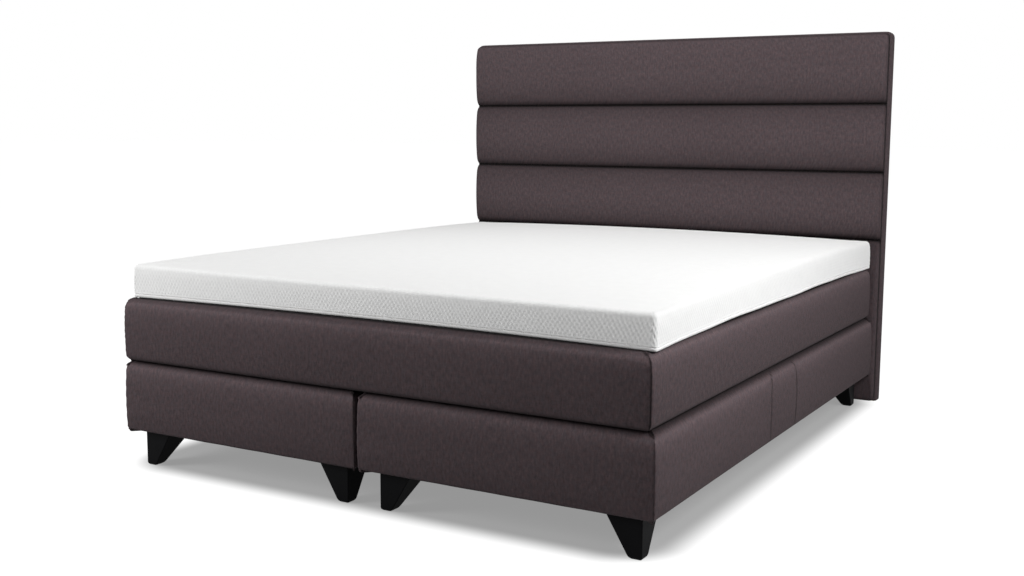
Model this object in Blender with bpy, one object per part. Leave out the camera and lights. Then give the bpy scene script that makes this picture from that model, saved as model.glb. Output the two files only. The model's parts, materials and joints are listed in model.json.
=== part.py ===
"""Box spring bed for two: a pair of upholstered boxes on wedge legs, one mattress, a topper and a headboard.

Metres, +Z up. Seen from the foot end, +X is the right-hand side and +Y runs to the head end.
The origin lies on the floor, under the middle of the bed's overall footprint.
"""
import math

import bmesh
import bpy

# Clearances shared by the whole bed
SEAT_GAP = 0.0003
BOLT_CLEARANCE = 0.0004
OVERRUN = 0.004

# Overall sizes
BED_WIDTH = 1.80
BOX_LENGTH = 2.095
BOX_HEIGHT = 0.224
BOX_SPLIT = 0.005
LEG_HEIGHT = 0.114
MATTRESS_HEIGHT = 0.2015
TOPPER_HEIGHT = 0.092
HEADBOARD_HEIGHT = 1.427

# How the layers stand back from or past each other
BOX_FOOT_SETBACK = 0.005
MATTRESS_SIDE_SETBACK = 0.011
MATTRESS_HEAD_CLEARANCE = 0.012
TOPPER_SIDE_SETBACK = 0.003
TOPPER_FOOT_SETBACK = 0.031
TOPPER_HEAD_CLEARANCE = 0.002
HEADBOARD_OVERHANG = 0.014

# Box covers, sewn fabric over thin padding, hemmed under the frame
COVER_WALL = 0.007
COVER_TOP_WALL = 0.006
COVER_CORNER_RADIUS = 0.014
COVER_TOP_RADIUS = 0.030
COVER_BOTTOM_RADIUS = 0.012
COVER_SIDE_CROWN = 0.003
COVER_INNER_RADIUS = 0.002
HEM_WIDTH = 0.034
HEM_THICKNESS = 0.003
DUST_CLOTH_THICKNESS = 0.001
DUST_CLOTH_INSET = 0.014

# Box frames in timber
BOARD_CHAMFER = 0.004
RAIL_THICKNESS = 0.018
RAIL_HEIGHT = 0.085
CORNER_BLOCK_HEIGHT = 0.045
CORNER_BLOCK_RISE = 0.004
CORNER_BLOCK_MARGIN = 0.030
CORNER_BLOCK_CUT_SHARE = 0.45
SLAT_THICKNESS = 0.018
SLAT_WIDTH = 0.075
SLAT_NOTCH = 0.005
SLAT_END_INSET = 0.003
SLAT_EDGE = 0.004
SLAT_COUNT = 13

# Springs and foam inside the boxes
BOX_PAD_THICKNESS = 0.034
BOX_POCKET = 0.080
BOX_FILL_MARGIN = 0.004
POCKET_SCALLOP = 0.010
POCKET_STEPS = 3

# Wedge legs: two upright outer faces, two faces that slope to a small foot
LEG_TOP = 0.105
LEG_TIP = 0.036
LEG_TIP_RADIUS = 0.009
LEG_EDGE_RADIUS = 0.003
LEG_OUTER_INSET = 0.046
LEG_INNER_INSET = 0.0535
LEG_FOOT_INSET = 0.038
LEG_HEAD_INSET = 0.052
LEG_BOLT_RADIUS = 0.004
LEG_BOLT_IN_LEG = 0.030
LEG_BOLT_IN_BLOCK = 0.032

# Steel links with pegs that hold the two boxes side by side
LINK_THICKNESS = 0.003
LINK_WIDTH = 0.060
LINK_END_MARGIN = 0.014
LINK_END_INSET = 0.260
LINK_PEG_RADIUS = 0.003
LINK_PEG_LENGTH = 0.024
LINK_PEG_SPACING = 0.032

# Mattress
MATTRESS_WALL = 0.006
MATTRESS_QUILT = 0.020
MATTRESS_CORNER_RADIUS = 0.020
MATTRESS_TOP_RADIUS = 0.024
MATTRESS_BASE_RADIUS = 0.022
MATTRESS_SIDE_CROWN = 0.003
MATTRESS_INNER_RADIUS = 0.003
MATTRESS_PANEL = 0.004
MATTRESS_EDGE_FOAM = 0.080
MATTRESS_TOP_FOAM = 0.030
MATTRESS_BASE_FOAM = 0.020
MATTRESS_POCKET = 0.065

# Topper
TOPPER_WALL = 0.004
TOPPER_CROWN = 0.013
TOPPER_CORNER_RADIUS = 0.022
TOPPER_TOP_RADIUS = 0.017
TOPPER_BASE_RADIUS = 0.007
TOPPER_SIDE_CROWN = 0.002
TOPPER_INNER_RADIUS = 0.003
TOPPER_SEAM_RISE = 0.010
ZIP_TAPE_THICKNESS = 0.001
ZIP_TAPE_HEIGHT = 0.010

# Headboard front: three crowned channels over one plain panel
CHANNEL_DEPTH = 0.040
CHANNEL_TOP_HEIGHT = 0.2635
CHANNEL_HEIGHT = 0.2605
CHANNEL_PINCH = 0.019
CHANNEL_PINCH_REACH = 0.075
CHANNEL_EDGE_RADIUS = 0.009
CHANNEL_BORDER = 0.006
PANEL_FLOOR_GAP = 0.012

# Headboard slab: timber frame, front board, wrapped side cover and back cloth
SLAB_DEPTH = 0.0555
SLAB_CORNER_RADIUS = 0.020
SLAB_EDGE_RADIUS = 0.004
SIDE_COVER_WALL = 0.0035
SIDE_COVER_LIP = 0.040
SIDE_COVER_FLOOR_GAP = 0.004
FRONT_BOARD = 0.004
STILE_WIDTH = 0.070
HEADBOARD_RAIL_HEIGHT = 0.090
GLIDE_HEIGHT = 0.006
GLIDE_RADIUS = 0.016
HEADBOARD_BOLT_RADIUS = 0.004
HEADBOARD_BOLT_HEAD_RADIUS = 0.008
HEADBOARD_BOLT_HEAD = 0.005
HEADBOARD_COUNTERBORE_RADIUS = 0.011
HEADBOARD_COUNTERBORE = 0.010
HEADBOARD_BOLT_SPREAD_SHARE = 0.25
MIDDLE_RAIL_HEIGHT_SHARE = 0.63

# Facets
CORNER_STEPS = 3
ARC_STEPS = 4
SMALL_ARC_STEPS = 3
BOLT_SIDES = 12
GLIDE_SIDES = 20
SMOOTH_ANGLE = math.radians(35)
CROWN_INSET_SHARES = (0.07, 0.22, 0.52, 1.0)
CROWN_REACH_SHARE = 0.6

# Plan positions that follow from the sizes
BOX_WIDTH = (BED_WIDTH - BOX_SPLIT) / 2
HEADBOARD_DEPTH = CHANNEL_DEPTH + SEAT_GAP + SLAB_DEPTH
OVERALL_LENGTH = BOX_FOOT_SETBACK + BOX_LENGTH + SEAT_GAP + HEADBOARD_DEPTH
FOOT_Y = -OVERALL_LENGTH / 2
BOX_FOOT_Y = FOOT_Y + BOX_FOOT_SETBACK
BOX_HEAD_Y = BOX_FOOT_Y + BOX_LENGTH
PAD_FRONT_Y = BOX_HEAD_Y + SEAT_GAP
PAD_BACK_Y = PAD_FRONT_Y + CHANNEL_DEPTH
SLAB_FRONT_Y = PAD_BACK_Y + SEAT_GAP
SLAB_BACK_Y = SLAB_FRONT_Y + SLAB_DEPTH

# Heights that follow from the sizes, from the legs up
CLOTH_LOW_Z = LEG_HEIGHT + SEAT_GAP
COVER_LOW_Z = CLOTH_LOW_Z + DUST_CLOTH_THICKNESS + SEAT_GAP
RAIL_LOW_Z = COVER_LOW_Z + HEM_THICKNESS + SEAT_GAP
RAIL_HIGH_Z = RAIL_LOW_Z + RAIL_HEIGHT
SLAT_LOW_Z = RAIL_HIGH_Z - SLAT_NOTCH
SLAT_HIGH_Z = SLAT_LOW_Z + SLAT_THICKNESS
BOX_TOP_Z = LEG_HEIGHT + BOX_HEIGHT
BOX_PAD_HIGH_Z = BOX_TOP_Z - COVER_TOP_WALL - SEAT_GAP
BOX_PAD_LOW_Z = BOX_PAD_HIGH_Z - BOX_PAD_THICKNESS
MATTRESS_LOW_Z = BOX_TOP_Z + SEAT_GAP
MATTRESS_HIGH_Z = MATTRESS_LOW_Z + MATTRESS_HEIGHT
TOPPER_LOW_Z = MATTRESS_HIGH_Z + SEAT_GAP
TOPPER_EDGE_Z = TOPPER_LOW_Z + TOPPER_HEIGHT
BOLT_RAIL_Z = RAIL_LOW_Z + RAIL_HEIGHT / 2

# Finishes: colour, roughness, metallic value
DARK_FABRIC = ((0.085, 0.066, 0.070), 0.85, 0.0)
BLACK_CLOTH = ((0.012, 0.012, 0.013), 0.95, 0.0)
WHITE_KNIT = ((0.86, 0.87, 0.87), 0.9, 0.0)
PINE = ((0.62, 0.45, 0.27), 0.6, 0.0)
PLYWOOD = ((0.55, 0.40, 0.25), 0.65, 0.0)
POCKET_FLEECE = ((0.78, 0.78, 0.76), 0.95, 0.0)
FOAM = ((0.80, 0.78, 0.66), 0.95, 0.0)
BLACK_PLASTIC = ((0.010, 0.010, 0.011), 0.45, 0.0)
STEEL = ((0.56, 0.57, 0.58), 0.35, 1.0)


def clear_scene():
    """Remove whatever objects the file holds."""
    for thing in list(bpy.data.objects):
        bpy.data.objects.remove(thing, do_unlink=True)


def make_material(name, look):
    """A Principled material with one piece's colour, roughness and metallic value."""
    colour, roughness, metallic = look
    material = bpy.data.materials.new(name)
    material.use_nodes = True
    shader = material.node_tree.nodes["Principled BSDF"]
    shader.inputs["Base Color"].default_value = (*colour, 1.0)
    shader.inputs["Roughness"].default_value = roughness
    shader.inputs["Metallic"].default_value = metallic
    material.diffuse_color = (*colour, 1.0)
    return material


def make_piece(name, shape, look):
    """Turn a closed bmesh into a named, shaded object with its own material."""
    bmesh.ops.recalc_face_normals(shape, faces=shape.faces)
    mesh = bpy.data.meshes.new(name)
    shape.to_mesh(mesh)
    shape.free()
    mesh.shade_smooth()
    mesh.set_sharp_from_angle(angle=SMOOTH_ANGLE)
    piece = bpy.data.objects.new(name, mesh)
    bpy.context.scene.collection.objects.link(piece)
    piece.data.materials.append(make_material(name, look))
    return piece


def make_hidden(name, shape):
    """A hidden shape that other pieces are cut with or joined to."""
    bmesh.ops.recalc_face_normals(shape, faces=shape.faces)
    mesh = bpy.data.meshes.new(name)
    shape.to_mesh(mesh)
    shape.free()
    hidden = bpy.data.objects.new(name, mesh)
    bpy.context.scene.collection.objects.link(hidden)
    hidden.hide_render = True
    hidden.display_type = "WIRE"
    return hidden


def combine(piece, tool, operation):
    """Cut a piece with a hidden shape, or join the hidden shape to it."""
    boolean = piece.modifiers.new(tool.name, "BOOLEAN")
    boolean.operation = operation
    boolean.solver = "EXACT"
    boolean.object = tool


def cut(piece, cutter):
    """Cut a piece with a hidden cutter."""
    combine(piece, cutter, "DIFFERENCE")


def join(piece, addition):
    """Join a hidden shape, which reaches into the piece, to it."""
    combine(piece, addition, "UNION")


def loft(shape, rings):
    """Skin a row of equal rings, and close both ends."""
    rows = [[shape.verts.new(point) for point in ring] for ring in rings]
    count = len(rows[0])
    for row, following in zip(rows, rows[1:]):
        for i in range(count):
            j = (i + 1) % count
            shape.faces.new((row[i], row[j], following[j], following[i]))
    shape.faces.new(rows[0])
    shape.faces.new(rows[-1])


def rounded_outline(half_x, half_y, radius):
    """Points round a rectangle with rounded corners, centred on zero."""
    points = []
    for quarter, (sign_x, sign_y) in enumerate(((1, 1), (-1, 1), (-1, -1), (1, -1))):
        centre_x = sign_x * (half_x - radius)
        centre_y = sign_y * (half_y - radius)
        angles = [math.pi / 2 * (quarter + step / CORNER_STEPS) for step in range(CORNER_STEPS + 1)]
        points += [(centre_x + radius * math.cos(a), centre_y + radius * math.sin(a)) for a in angles]
    return points


def inset_rings(centre, half, radius, inner_radius, profile):
    """Rings for a profile of (inset from the side faces, height) points."""
    rings = []
    for inset, z in profile:
        corner = max(radius - inset, inner_radius)
        outline = rounded_outline(half[0] - inset, half[1] - inset, corner)
        rings.append([(centre[0] + x, centre[1] + y, z) for x, y in outline])
    return rings


def upper_edge(radius, high_z, draw, steps):
    """Profile round an upper edge, from the top face down to the side, drawn in by draw."""
    points = []
    for step in range(steps + 1):
        angle = math.pi / 2 * (1 - step / steps)
        points.append((draw + radius - radius * math.cos(angle), high_z - radius + radius * math.sin(angle)))
    return points


def lower_edge(radius, low_z, draw, steps):
    """Profile round a lower edge, from the side down to the underside, drawn in by draw."""
    points = []
    for step in range(steps + 1):
        angle = math.pi / 2 * step / steps
        points.append((draw + radius - radius * math.cos(angle), low_z + radius - radius * math.sin(angle)))
    return points


def block(low, high):
    """A board or foam block between two corners, with all its edges taken off."""
    shape = bmesh.new()
    add_block(shape, low, high)
    return shape


def add_block(shape, low, high):
    """Add one chamfered block to a shape."""
    xs, ys, zs = zip(low, high)
    corners = [shape.verts.new((x, y, z)) for z in zs for y in ys for x in xs]
    sides = ((0, 2, 3, 1), (4, 5, 7, 6), (0, 1, 5, 4), (2, 6, 7, 3), (0, 4, 6, 2), (1, 3, 7, 5))
    faces = [shape.faces.new([corners[i] for i in side]) for side in sides]
    edges = list({edge for face in faces for edge in face.edges})
    bmesh.ops.bevel(shape, geom=edges, offset=BOARD_CHAMFER, segments=1, affect="EDGES")


def add_prism(shape, outline, low_z, high_z):
    """Add an upright prism on an outline of (x, y) points."""
    loft(shape, [[(x, y, z) for x, y in outline] for z in (low_z, high_z)])


def add_prism_y(shape, outline, low_y, high_y):
    """Add a prism along Y on an outline of (x, z) points."""
    loft(shape, [[(x, y, z) for x, z in outline] for y in (low_y, high_y)])


def circle(centre_x, centre_y, radius, sides):
    """Points round a circle."""
    angles = [2 * math.pi * side / sides for side in range(sides)]
    return [(centre_x + radius * math.cos(a), centre_y + radius * math.sin(a)) for a in angles]


def add_rod_z(shape, x, y, stages):
    """Add a stepped round rod along Z: stages are (height, radius) points from one end to the other."""
    rings = []
    for z, radius in stages:
        rings.append([(px, py, z) for px, py in circle(x, y, radius, BOLT_SIDES)])
    loft(shape, rings)


def add_rod_y(shape, x, z, stages):
    """Add a stepped round rod along Y: stages are (position, radius) points from one end to the other."""
    rings = []
    for y, radius in stages:
        rings.append([(px, y, pz) for px, pz in circle(x, z, radius, BOLT_SIDES)])
    loft(shape, rings)


def pocket_outline(centre, half, pocket):
    """Scalloped outline of a block of pocket springs: one bulge for each pocket round the rim."""
    corner_x, corner_y = half[0] - POCKET_SCALLOP, half[1] - POCKET_SCALLOP
    corners = ((corner_x, -corner_y), (corner_x, corner_y), (-corner_x, corner_y), (-corner_x, -corner_y))
    points = []
    for (start_x, start_y), (end_x, end_y) in zip(corners, corners[1:] + corners[:1]):
        length = math.hypot(end_x - start_x, end_y - start_y)
        along_x, along_y = (end_x - start_x) / length, (end_y - start_y) / length
        pockets = max(1, round(length / pocket))
        for step in range(pockets * POCKET_STEPS):
            bulge = POCKET_SCALLOP * math.sin(math.pi * (step % POCKET_STEPS) / POCKET_STEPS)
            reach = length * step / (pockets * POCKET_STEPS)
            x = start_x + along_x * reach + along_y * bulge
            y = start_y + along_y * reach - along_x * bulge
            points.append((centre[0] + x, centre[1] + y))
    return points


def box_centre_x(side):
    """Middle of one box across the bed; side is -1 for the left box and 1 for the right one."""
    return side * (BOX_SPLIT + BOX_WIDTH) / 2


def box_middle_y():
    """Middle of the boxes along the bed."""
    return (BOX_FOOT_Y + BOX_HEAD_Y) / 2


def box_cavity():
    """Half width and half length of the space inside a box cover, less the seating gap."""
    return BOX_WIDTH / 2 - COVER_WALL - SEAT_GAP, BOX_LENGTH / 2 - COVER_WALL - SEAT_GAP


def leg_corners(side):
    """Each leg of one box: its end and edge names, outer corner and the way that corner points."""
    centre_x = box_centre_x(side)
    legs = []
    for end, end_y, way_y, end_inset in (
        ("foot", BOX_FOOT_Y, -1, LEG_FOOT_INSET),
        ("head", BOX_HEAD_Y, 1, LEG_HEAD_INSET),
    ):
        for edge, way_x, edge_inset in (("outer", side, LEG_OUTER_INSET), ("inner", -side, LEG_INNER_INSET)):
            x = centre_x + way_x * (BOX_WIDTH / 2 - edge_inset)
            y = end_y - way_y * end_inset
            legs.append((end, edge, x, y, way_x, way_y))
    return legs


def leg_bolt_places(side):
    """Bolt axes of one box's legs, in the middle of each leg's top."""
    middle = LEG_TOP / 2
    return [(x - way_x * middle, y - way_y * middle) for _, _, x, y, way_x, way_y in leg_corners(side)]


def headboard_bolt_places():
    """Where the headboard's bolts cross, as X positions at the bolt rail's height."""
    spread = BOX_WIDTH * HEADBOARD_BOLT_SPREAD_SHARE
    return [box_centre_x(side) + way * spread for side in (-1, 1) for way in (-1, 1)]


def link_peg_places(middle_y):
    """Peg axes of the link at one place along the bed: a pair under each inner rail."""
    rail_x = BOX_SPLIT / 2 + COVER_WALL + SEAT_GAP + RAIL_THICKNESS / 2
    half = LINK_PEG_SPACING / 2
    return [(way_x * rail_x, middle_y + way_y * half) for way_x in (-1, 1) for way_y in (-1, 1)]


def link_middles():
    """Middle of the foot link and of the head link along the bed."""
    return BOX_FOOT_Y + LINK_END_INSET, BOX_HEAD_Y - LINK_END_INSET


def build_box_cover(label, side):
    """Upholstered cover of one box: rounded top edge, softly crowned sides and a hem under the frame."""
    half = (BOX_WIDTH / 2, BOX_LENGTH / 2)
    middle_z = (COVER_LOW_Z + BOX_TOP_Z) / 2
    inner_top_z = BOX_TOP_Z - COVER_TOP_WALL
    hem_top_z = COVER_LOW_Z + HEM_THICKNESS
    inner_radius = COVER_TOP_RADIUS + COVER_SIDE_CROWN - COVER_WALL
    profile = upper_edge(COVER_TOP_RADIUS, BOX_TOP_Z, COVER_SIDE_CROWN, ARC_STEPS)
    profile.append((0, middle_z))
    profile += lower_edge(COVER_BOTTOM_RADIUS, COVER_LOW_Z, COVER_SIDE_CROWN, SMALL_ARC_STEPS)
    profile += [(HEM_WIDTH, COVER_LOW_Z), (HEM_WIDTH, hem_top_z)]
    inside = [(COVER_WALL + BOARD_CHAMFER, hem_top_z), (COVER_WALL, hem_top_z + BOARD_CHAMFER)]
    inside += reversed(upper_edge(inner_radius, inner_top_z, COVER_WALL, ARC_STEPS))
    centre = (box_centre_x(side), box_middle_y())
    rings = inset_rings(centre, half, COVER_CORNER_RADIUS, COVER_INNER_RADIUS, profile)
    rings += inset_rings(centre, half, 0, COVER_INNER_RADIUS, inside)
    shape = bmesh.new()
    loft(shape, rings)
    return make_piece(f"{label}_box_cover", shape, DARK_FABRIC)


def build_dust_cloth(label, side):
    """Thin cloth stapled under one box."""
    shape = bmesh.new()
    half = (BOX_WIDTH / 2, BOX_LENGTH / 2)
    profile = [(DUST_CLOTH_INSET, CLOTH_LOW_Z), (DUST_CLOTH_INSET, CLOTH_LOW_Z + DUST_CLOTH_THICKNESS)]
    centre = (box_centre_x(side), box_middle_y())
    loft(shape, inset_rings(centre, half, COVER_CORNER_RADIUS, COVER_INNER_RADIUS, profile))
    return make_piece(f"{label}_box_dust_cloth", shape, BLACK_CLOTH)


def build_end_rails(label, side):
    """Boards on edge at one box's foot and head, each with two corner blocks that take the leg bolts."""
    centre_x, middle_y = box_centre_x(side), box_middle_y()
    half_x, half_y = box_cavity()
    rails = {}
    for end, way in (("foot", -1), ("head", 1)):
        faces = sorted((middle_y + way * half_y, middle_y + way * (half_y - RAIL_THICKNESS)))
        low = (centre_x - half_x, faces[0], RAIL_LOW_Z)
        high = (centre_x + half_x, faces[1], RAIL_HIGH_Z)
        rails[end] = make_piece(f"{label}_box_{end}_rail", block(low, high), PINE)
        join(rails[end], corner_blocks(label, side, end))
    return rails


def corner_blocks(label, side, end):
    """Blocks for both corners at one end of a box, let into the end rail by half its thickness."""
    centre_x, middle_y = box_centre_x(side), box_middle_y()
    half_x, half_y = box_cavity()
    low_z = RAIL_LOW_Z + CORNER_BLOCK_RISE
    shape = bmesh.new()
    for leg, (bolt_x, bolt_y) in zip(leg_corners(side), leg_bolt_places(side)):
        leg_end, _, _, _, way_x, way_y = leg
        if leg_end != end:
            continue
        corner_x = centre_x + way_x * (half_x - RAIL_THICKNESS - SEAT_GAP)
        corner_y = middle_y + way_y * (half_y - RAIL_THICKNESS / 2)
        size_x = abs(corner_x - bolt_x) + CORNER_BLOCK_MARGIN
        size_y = abs(corner_y - bolt_y) + CORNER_BLOCK_MARGIN
        cut_x, cut_y = size_x * CORNER_BLOCK_CUT_SHARE, size_y * CORNER_BLOCK_CUT_SHARE
        steps = ((0, 0), (size_x, 0), (size_x, size_y - cut_y), (size_x - cut_x, size_y), (0, size_y))
        outline = [(corner_x - way_x * x, corner_y - way_y * y) for x, y in steps]
        add_prism(shape, outline, low_z, low_z + CORNER_BLOCK_HEIGHT)
    return make_hidden(f"{label}_box_{end}_corner_blocks", shape)


def build_slatted_frame(label, side):
    """Side rails of one box, with the slats let into their upper edges."""
    centre_x, middle_y = box_centre_x(side), box_middle_y()
    half_x, half_y = box_cavity()
    between = half_y - RAIL_THICKNESS - SEAT_GAP
    rails = bmesh.new()
    for way in (-1, 1):
        faces = sorted((centre_x + way * half_x, centre_x + way * (half_x - RAIL_THICKNESS)))
        low = (faces[0], middle_y - between, RAIL_LOW_Z)
        high = (faces[1], middle_y + between, RAIL_HIGH_Z)
        add_block(rails, low, high)
    frame = make_piece(f"{label}_box_slatted_frame", rails, PINE)
    slats = bmesh.new()
    reach = half_x - SLAT_END_INSET
    travel = 2 * (between - BOARD_CHAMFER) - SLAT_WIDTH
    for slat in range(SLAT_COUNT):
        low_y = middle_y - between + BOARD_CHAMFER + travel * slat / (SLAT_COUNT - 1)
        section = slat_section(low_y)
        loft(slats, [[(x, y, z) for y, z in section] for x in (centre_x - reach, centre_x + reach)])
    join(frame, make_hidden(f"{label}_box_slats", slats))
    return frame


def slat_section(low_y):
    """Outline of one slat across its length, with its long edges taken off."""
    high_y = low_y + SLAT_WIDTH
    edge = SLAT_EDGE
    return [
        (low_y + edge, SLAT_LOW_Z),
        (high_y - edge, SLAT_LOW_Z),
        (high_y, SLAT_LOW_Z + edge),
        (high_y, SLAT_HIGH_Z - edge),
        (high_y - edge, SLAT_HIGH_Z),
        (low_y + edge, SLAT_HIGH_Z),
        (low_y, SLAT_HIGH_Z - edge),
        (low_y, SLAT_LOW_Z + edge),
    ]


def build_box_filling(label, side):
    """Pocket springs on the slats, and on them the foam pad, rounded like the cover it fills."""
    centre = (box_centre_x(side), box_middle_y())
    half_x, half_y = box_cavity()
    half = (half_x - BOX_FILL_MARGIN, half_y - BOX_FILL_MARGIN)
    springs = bmesh.new()
    outline = pocket_outline(centre, half, BOX_POCKET)
    add_prism(springs, outline, SLAT_HIGH_Z + SEAT_GAP, BOX_PAD_LOW_Z - SEAT_GAP)
    make_piece(f"{label}_box_spring_core", springs, POCKET_FLEECE)
    pad_radius = COVER_TOP_RADIUS + COVER_SIDE_CROWN - COVER_WALL - SEAT_GAP
    profile = upper_edge(pad_radius, BOX_PAD_HIGH_Z, 0, ARC_STEPS)
    profile.append((0, BOX_PAD_LOW_Z))
    pad = bmesh.new()
    loft(pad, inset_rings(centre, (half_x, half_y), 0, COVER_INNER_RADIUS, profile))
    make_piece(f"{label}_box_foam_pad", pad, FOAM)


def build_legs(label, side, bolt_holes):
    """Wedge legs: rings that keep two sides upright while the other two slope in to a rounded foot."""
    for end, edge, x, y, way_x, way_y in leg_corners(side):
        rings = []
        for inset, z in [(0, LEG_HEIGHT)] + lower_edge(LEG_TIP_RADIUS, 0, 0, SMALL_ARC_STEPS):
            width = LEG_TIP + (LEG_TOP - LEG_TIP) * z / LEG_HEIGHT
            half = width / 2 - inset
            centre_x, centre_y = x - way_x * width / 2, y - way_y * width / 2
            outline = rounded_outline(half, half, LEG_EDGE_RADIUS)
            rings.append([(centre_x + px, centre_y + py, z) for px, py in outline])
        shape = bmesh.new()
        loft(shape, rings)
        leg = make_piece(f"{label}_{end}_{edge}_leg", shape, BLACK_PLASTIC)
        cut(leg, bolt_holes)


def build_leg_bolts(label, side):
    """Studs that join one box's legs to its corner blocks."""
    low_z = LEG_HEIGHT - LEG_BOLT_IN_LEG + SEAT_GAP
    high_z = leg_bolt_top_z() - SEAT_GAP
    for leg, (x, y) in zip(leg_corners(side), leg_bolt_places(side)):
        end, edge = leg[0], leg[1]
        shape = bmesh.new()
        add_rod_z(shape, x, y, [(low_z, LEG_BOLT_RADIUS), (high_z, LEG_BOLT_RADIUS)])
        make_piece(f"{label}_{end}_{edge}_leg_bolt", shape, STEEL)


def leg_bolt_top_z():
    """Blind end of the leg bolts' holes in the corner blocks."""
    return RAIL_LOW_Z + CORNER_BLOCK_RISE + LEG_BOLT_IN_BLOCK


def leg_bolt_cutter(label, side):
    """Holes for one box's leg bolts, blind in the legs and in the corner blocks."""
    shape = bmesh.new()
    radius = LEG_BOLT_RADIUS + BOLT_CLEARANCE
    for x, y in leg_bolt_places(side):
        add_rod_z(shape, x, y, [(LEG_HEIGHT - LEG_BOLT_IN_LEG, radius), (leg_bolt_top_z(), radius)])
    return make_hidden(f"{label}_leg_bolt_holes", shape)


def peg_cutter():
    """Holes for the links' pegs, through the cloth and the hem and up into the inner rails."""
    shape = bmesh.new()
    radius = LINK_PEG_RADIUS + BOLT_CLEARANCE
    for middle_y in link_middles():
        for x, y in link_peg_places(middle_y):
            add_rod_z(shape, x, y, [(LEG_HEIGHT - OVERRUN, radius), (LEG_HEIGHT + LINK_PEG_LENGTH, radius)])
    return make_hidden("box_link_peg_holes", shape)


def build_links():
    """Steel plates with round corners under the boxes, whose pegs tie the two inner rails together."""
    low_z = LEG_HEIGHT - LINK_THICKNESS
    for end, middle_y in zip(("foot", "head"), link_middles()):
        places = link_peg_places(middle_y)
        half_x = max(x for x, _ in places) + LINK_END_MARGIN
        outline = rounded_outline(half_x, LINK_WIDTH / 2, LINK_END_MARGIN)
        plate = bmesh.new()
        add_prism(plate, [(px, middle_y + py) for px, py in outline], low_z, LEG_HEIGHT)
        piece = make_piece(f"box_link_{end}", plate, STEEL)
        pegs = bmesh.new()
        for x, y in places:
            stages = [
                (LEG_HEIGHT - LINK_THICKNESS / 2, LINK_PEG_RADIUS),
                (LEG_HEIGHT + LINK_PEG_LENGTH - SEAT_GAP, LINK_PEG_RADIUS),
            ]
            add_rod_z(pegs, x, y, stages)
        join(piece, make_hidden(f"box_link_{end}_pegs", pegs))


def headboard_bolt_cutters():
    """Through holes for the headboard's bolts, and the wider bores for their heads."""
    radius = HEADBOARD_BOLT_RADIUS + BOLT_CLEARANCE
    rail_inner_y = BOX_HEAD_Y - COVER_WALL - SEAT_GAP - RAIL_THICKNESS
    back_y = SLAB_BACK_Y - SIDE_COVER_WALL
    through, bores = bmesh.new(), bmesh.new()
    for x in headboard_bolt_places():
        stages = [(rail_inner_y - OVERRUN, radius), (SLAB_BACK_Y + OVERRUN, radius)]
        add_rod_y(through, x, BOLT_RAIL_Z, stages)
        head_seat_y = back_y - HEADBOARD_COUNTERBORE
        ends = (head_seat_y, back_y + OVERRUN)
        add_rod_y(bores, x, BOLT_RAIL_Z, [(y, HEADBOARD_COUNTERBORE_RADIUS) for y in ends])
    return make_hidden("headboard_bolt_holes", through), make_hidden("headboard_head_bores", bores)


def build_box(label, side, peg_holes, headboard_holes):
    """One upholstered box with its frame, springs, foam, cloth, legs and bolts."""
    bolt_holes = leg_bolt_cutter(label, side)
    cover = build_box_cover(label, side)
    cloth = build_dust_cloth(label, side)
    end_rails = build_end_rails(label, side)
    frame = build_slatted_frame(label, side)
    build_box_filling(label, side)
    build_legs(label, side, bolt_holes)
    build_leg_bolts(label, side)
    for piece in (cover, cloth, frame):
        cut(piece, peg_holes)
    for piece in (cover, end_rails["head"]):
        cut(piece, headboard_holes)
    for piece in (cloth, end_rails["foot"], end_rails["head"]):
        cut(piece, bolt_holes)


def mattress_plan():
    """Centre, half width and half length of the mattress."""
    half_x = BED_WIDTH / 2 - MATTRESS_SIDE_SETBACK
    high_y = PAD_FRONT_Y - MATTRESS_HEAD_CLEARANCE
    return (0, (FOOT_Y + high_y) / 2), (half_x, (high_y - FOOT_Y) / 2)


def build_mattress():
    """Mattress: border and quilted top in one cover, a base panel, foam all round and pocket springs."""
    centre, half = mattress_plan()
    middle_z = (MATTRESS_LOW_Z + MATTRESS_HIGH_Z) / 2
    lip_z = MATTRESS_LOW_Z + MATTRESS_PANEL
    lip_inset = MATTRESS_SIDE_CROWN + MATTRESS_BASE_RADIUS
    profile = upper_edge(MATTRESS_TOP_RADIUS, MATTRESS_HIGH_Z, MATTRESS_SIDE_CROWN, ARC_STEPS)
    profile.append((0, middle_z))
    profile += lower_edge(MATTRESS_BASE_RADIUS, MATTRESS_LOW_Z, MATTRESS_SIDE_CROWN, ARC_STEPS)
    inner_top_z = MATTRESS_HIGH_Z - MATTRESS_QUILT
    inner_radius = lip_inset - MATTRESS_WALL
    profile += reversed(lower_edge(inner_radius, lip_z, MATTRESS_WALL, ARC_STEPS))
    profile.append((MATTRESS_WALL, inner_top_z))
    cover = bmesh.new()
    loft(cover, inset_rings(centre, half, MATTRESS_CORNER_RADIUS, MATTRESS_INNER_RADIUS, profile))
    make_piece("mattress_cover", cover, DARK_FABRIC)
    panel = bmesh.new()
    panel_inset = lip_inset + SEAT_GAP
    profile = [(panel_inset, MATTRESS_LOW_Z), (panel_inset, lip_z)]
    loft(panel, inset_rings(centre, half, MATTRESS_CORNER_RADIUS, MATTRESS_INNER_RADIUS, profile))
    make_piece("mattress_base_panel", panel, BLACK_CLOTH)
    build_mattress_filling(centre, half, lip_z + SEAT_GAP, inner_top_z - SEAT_GAP)


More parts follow.
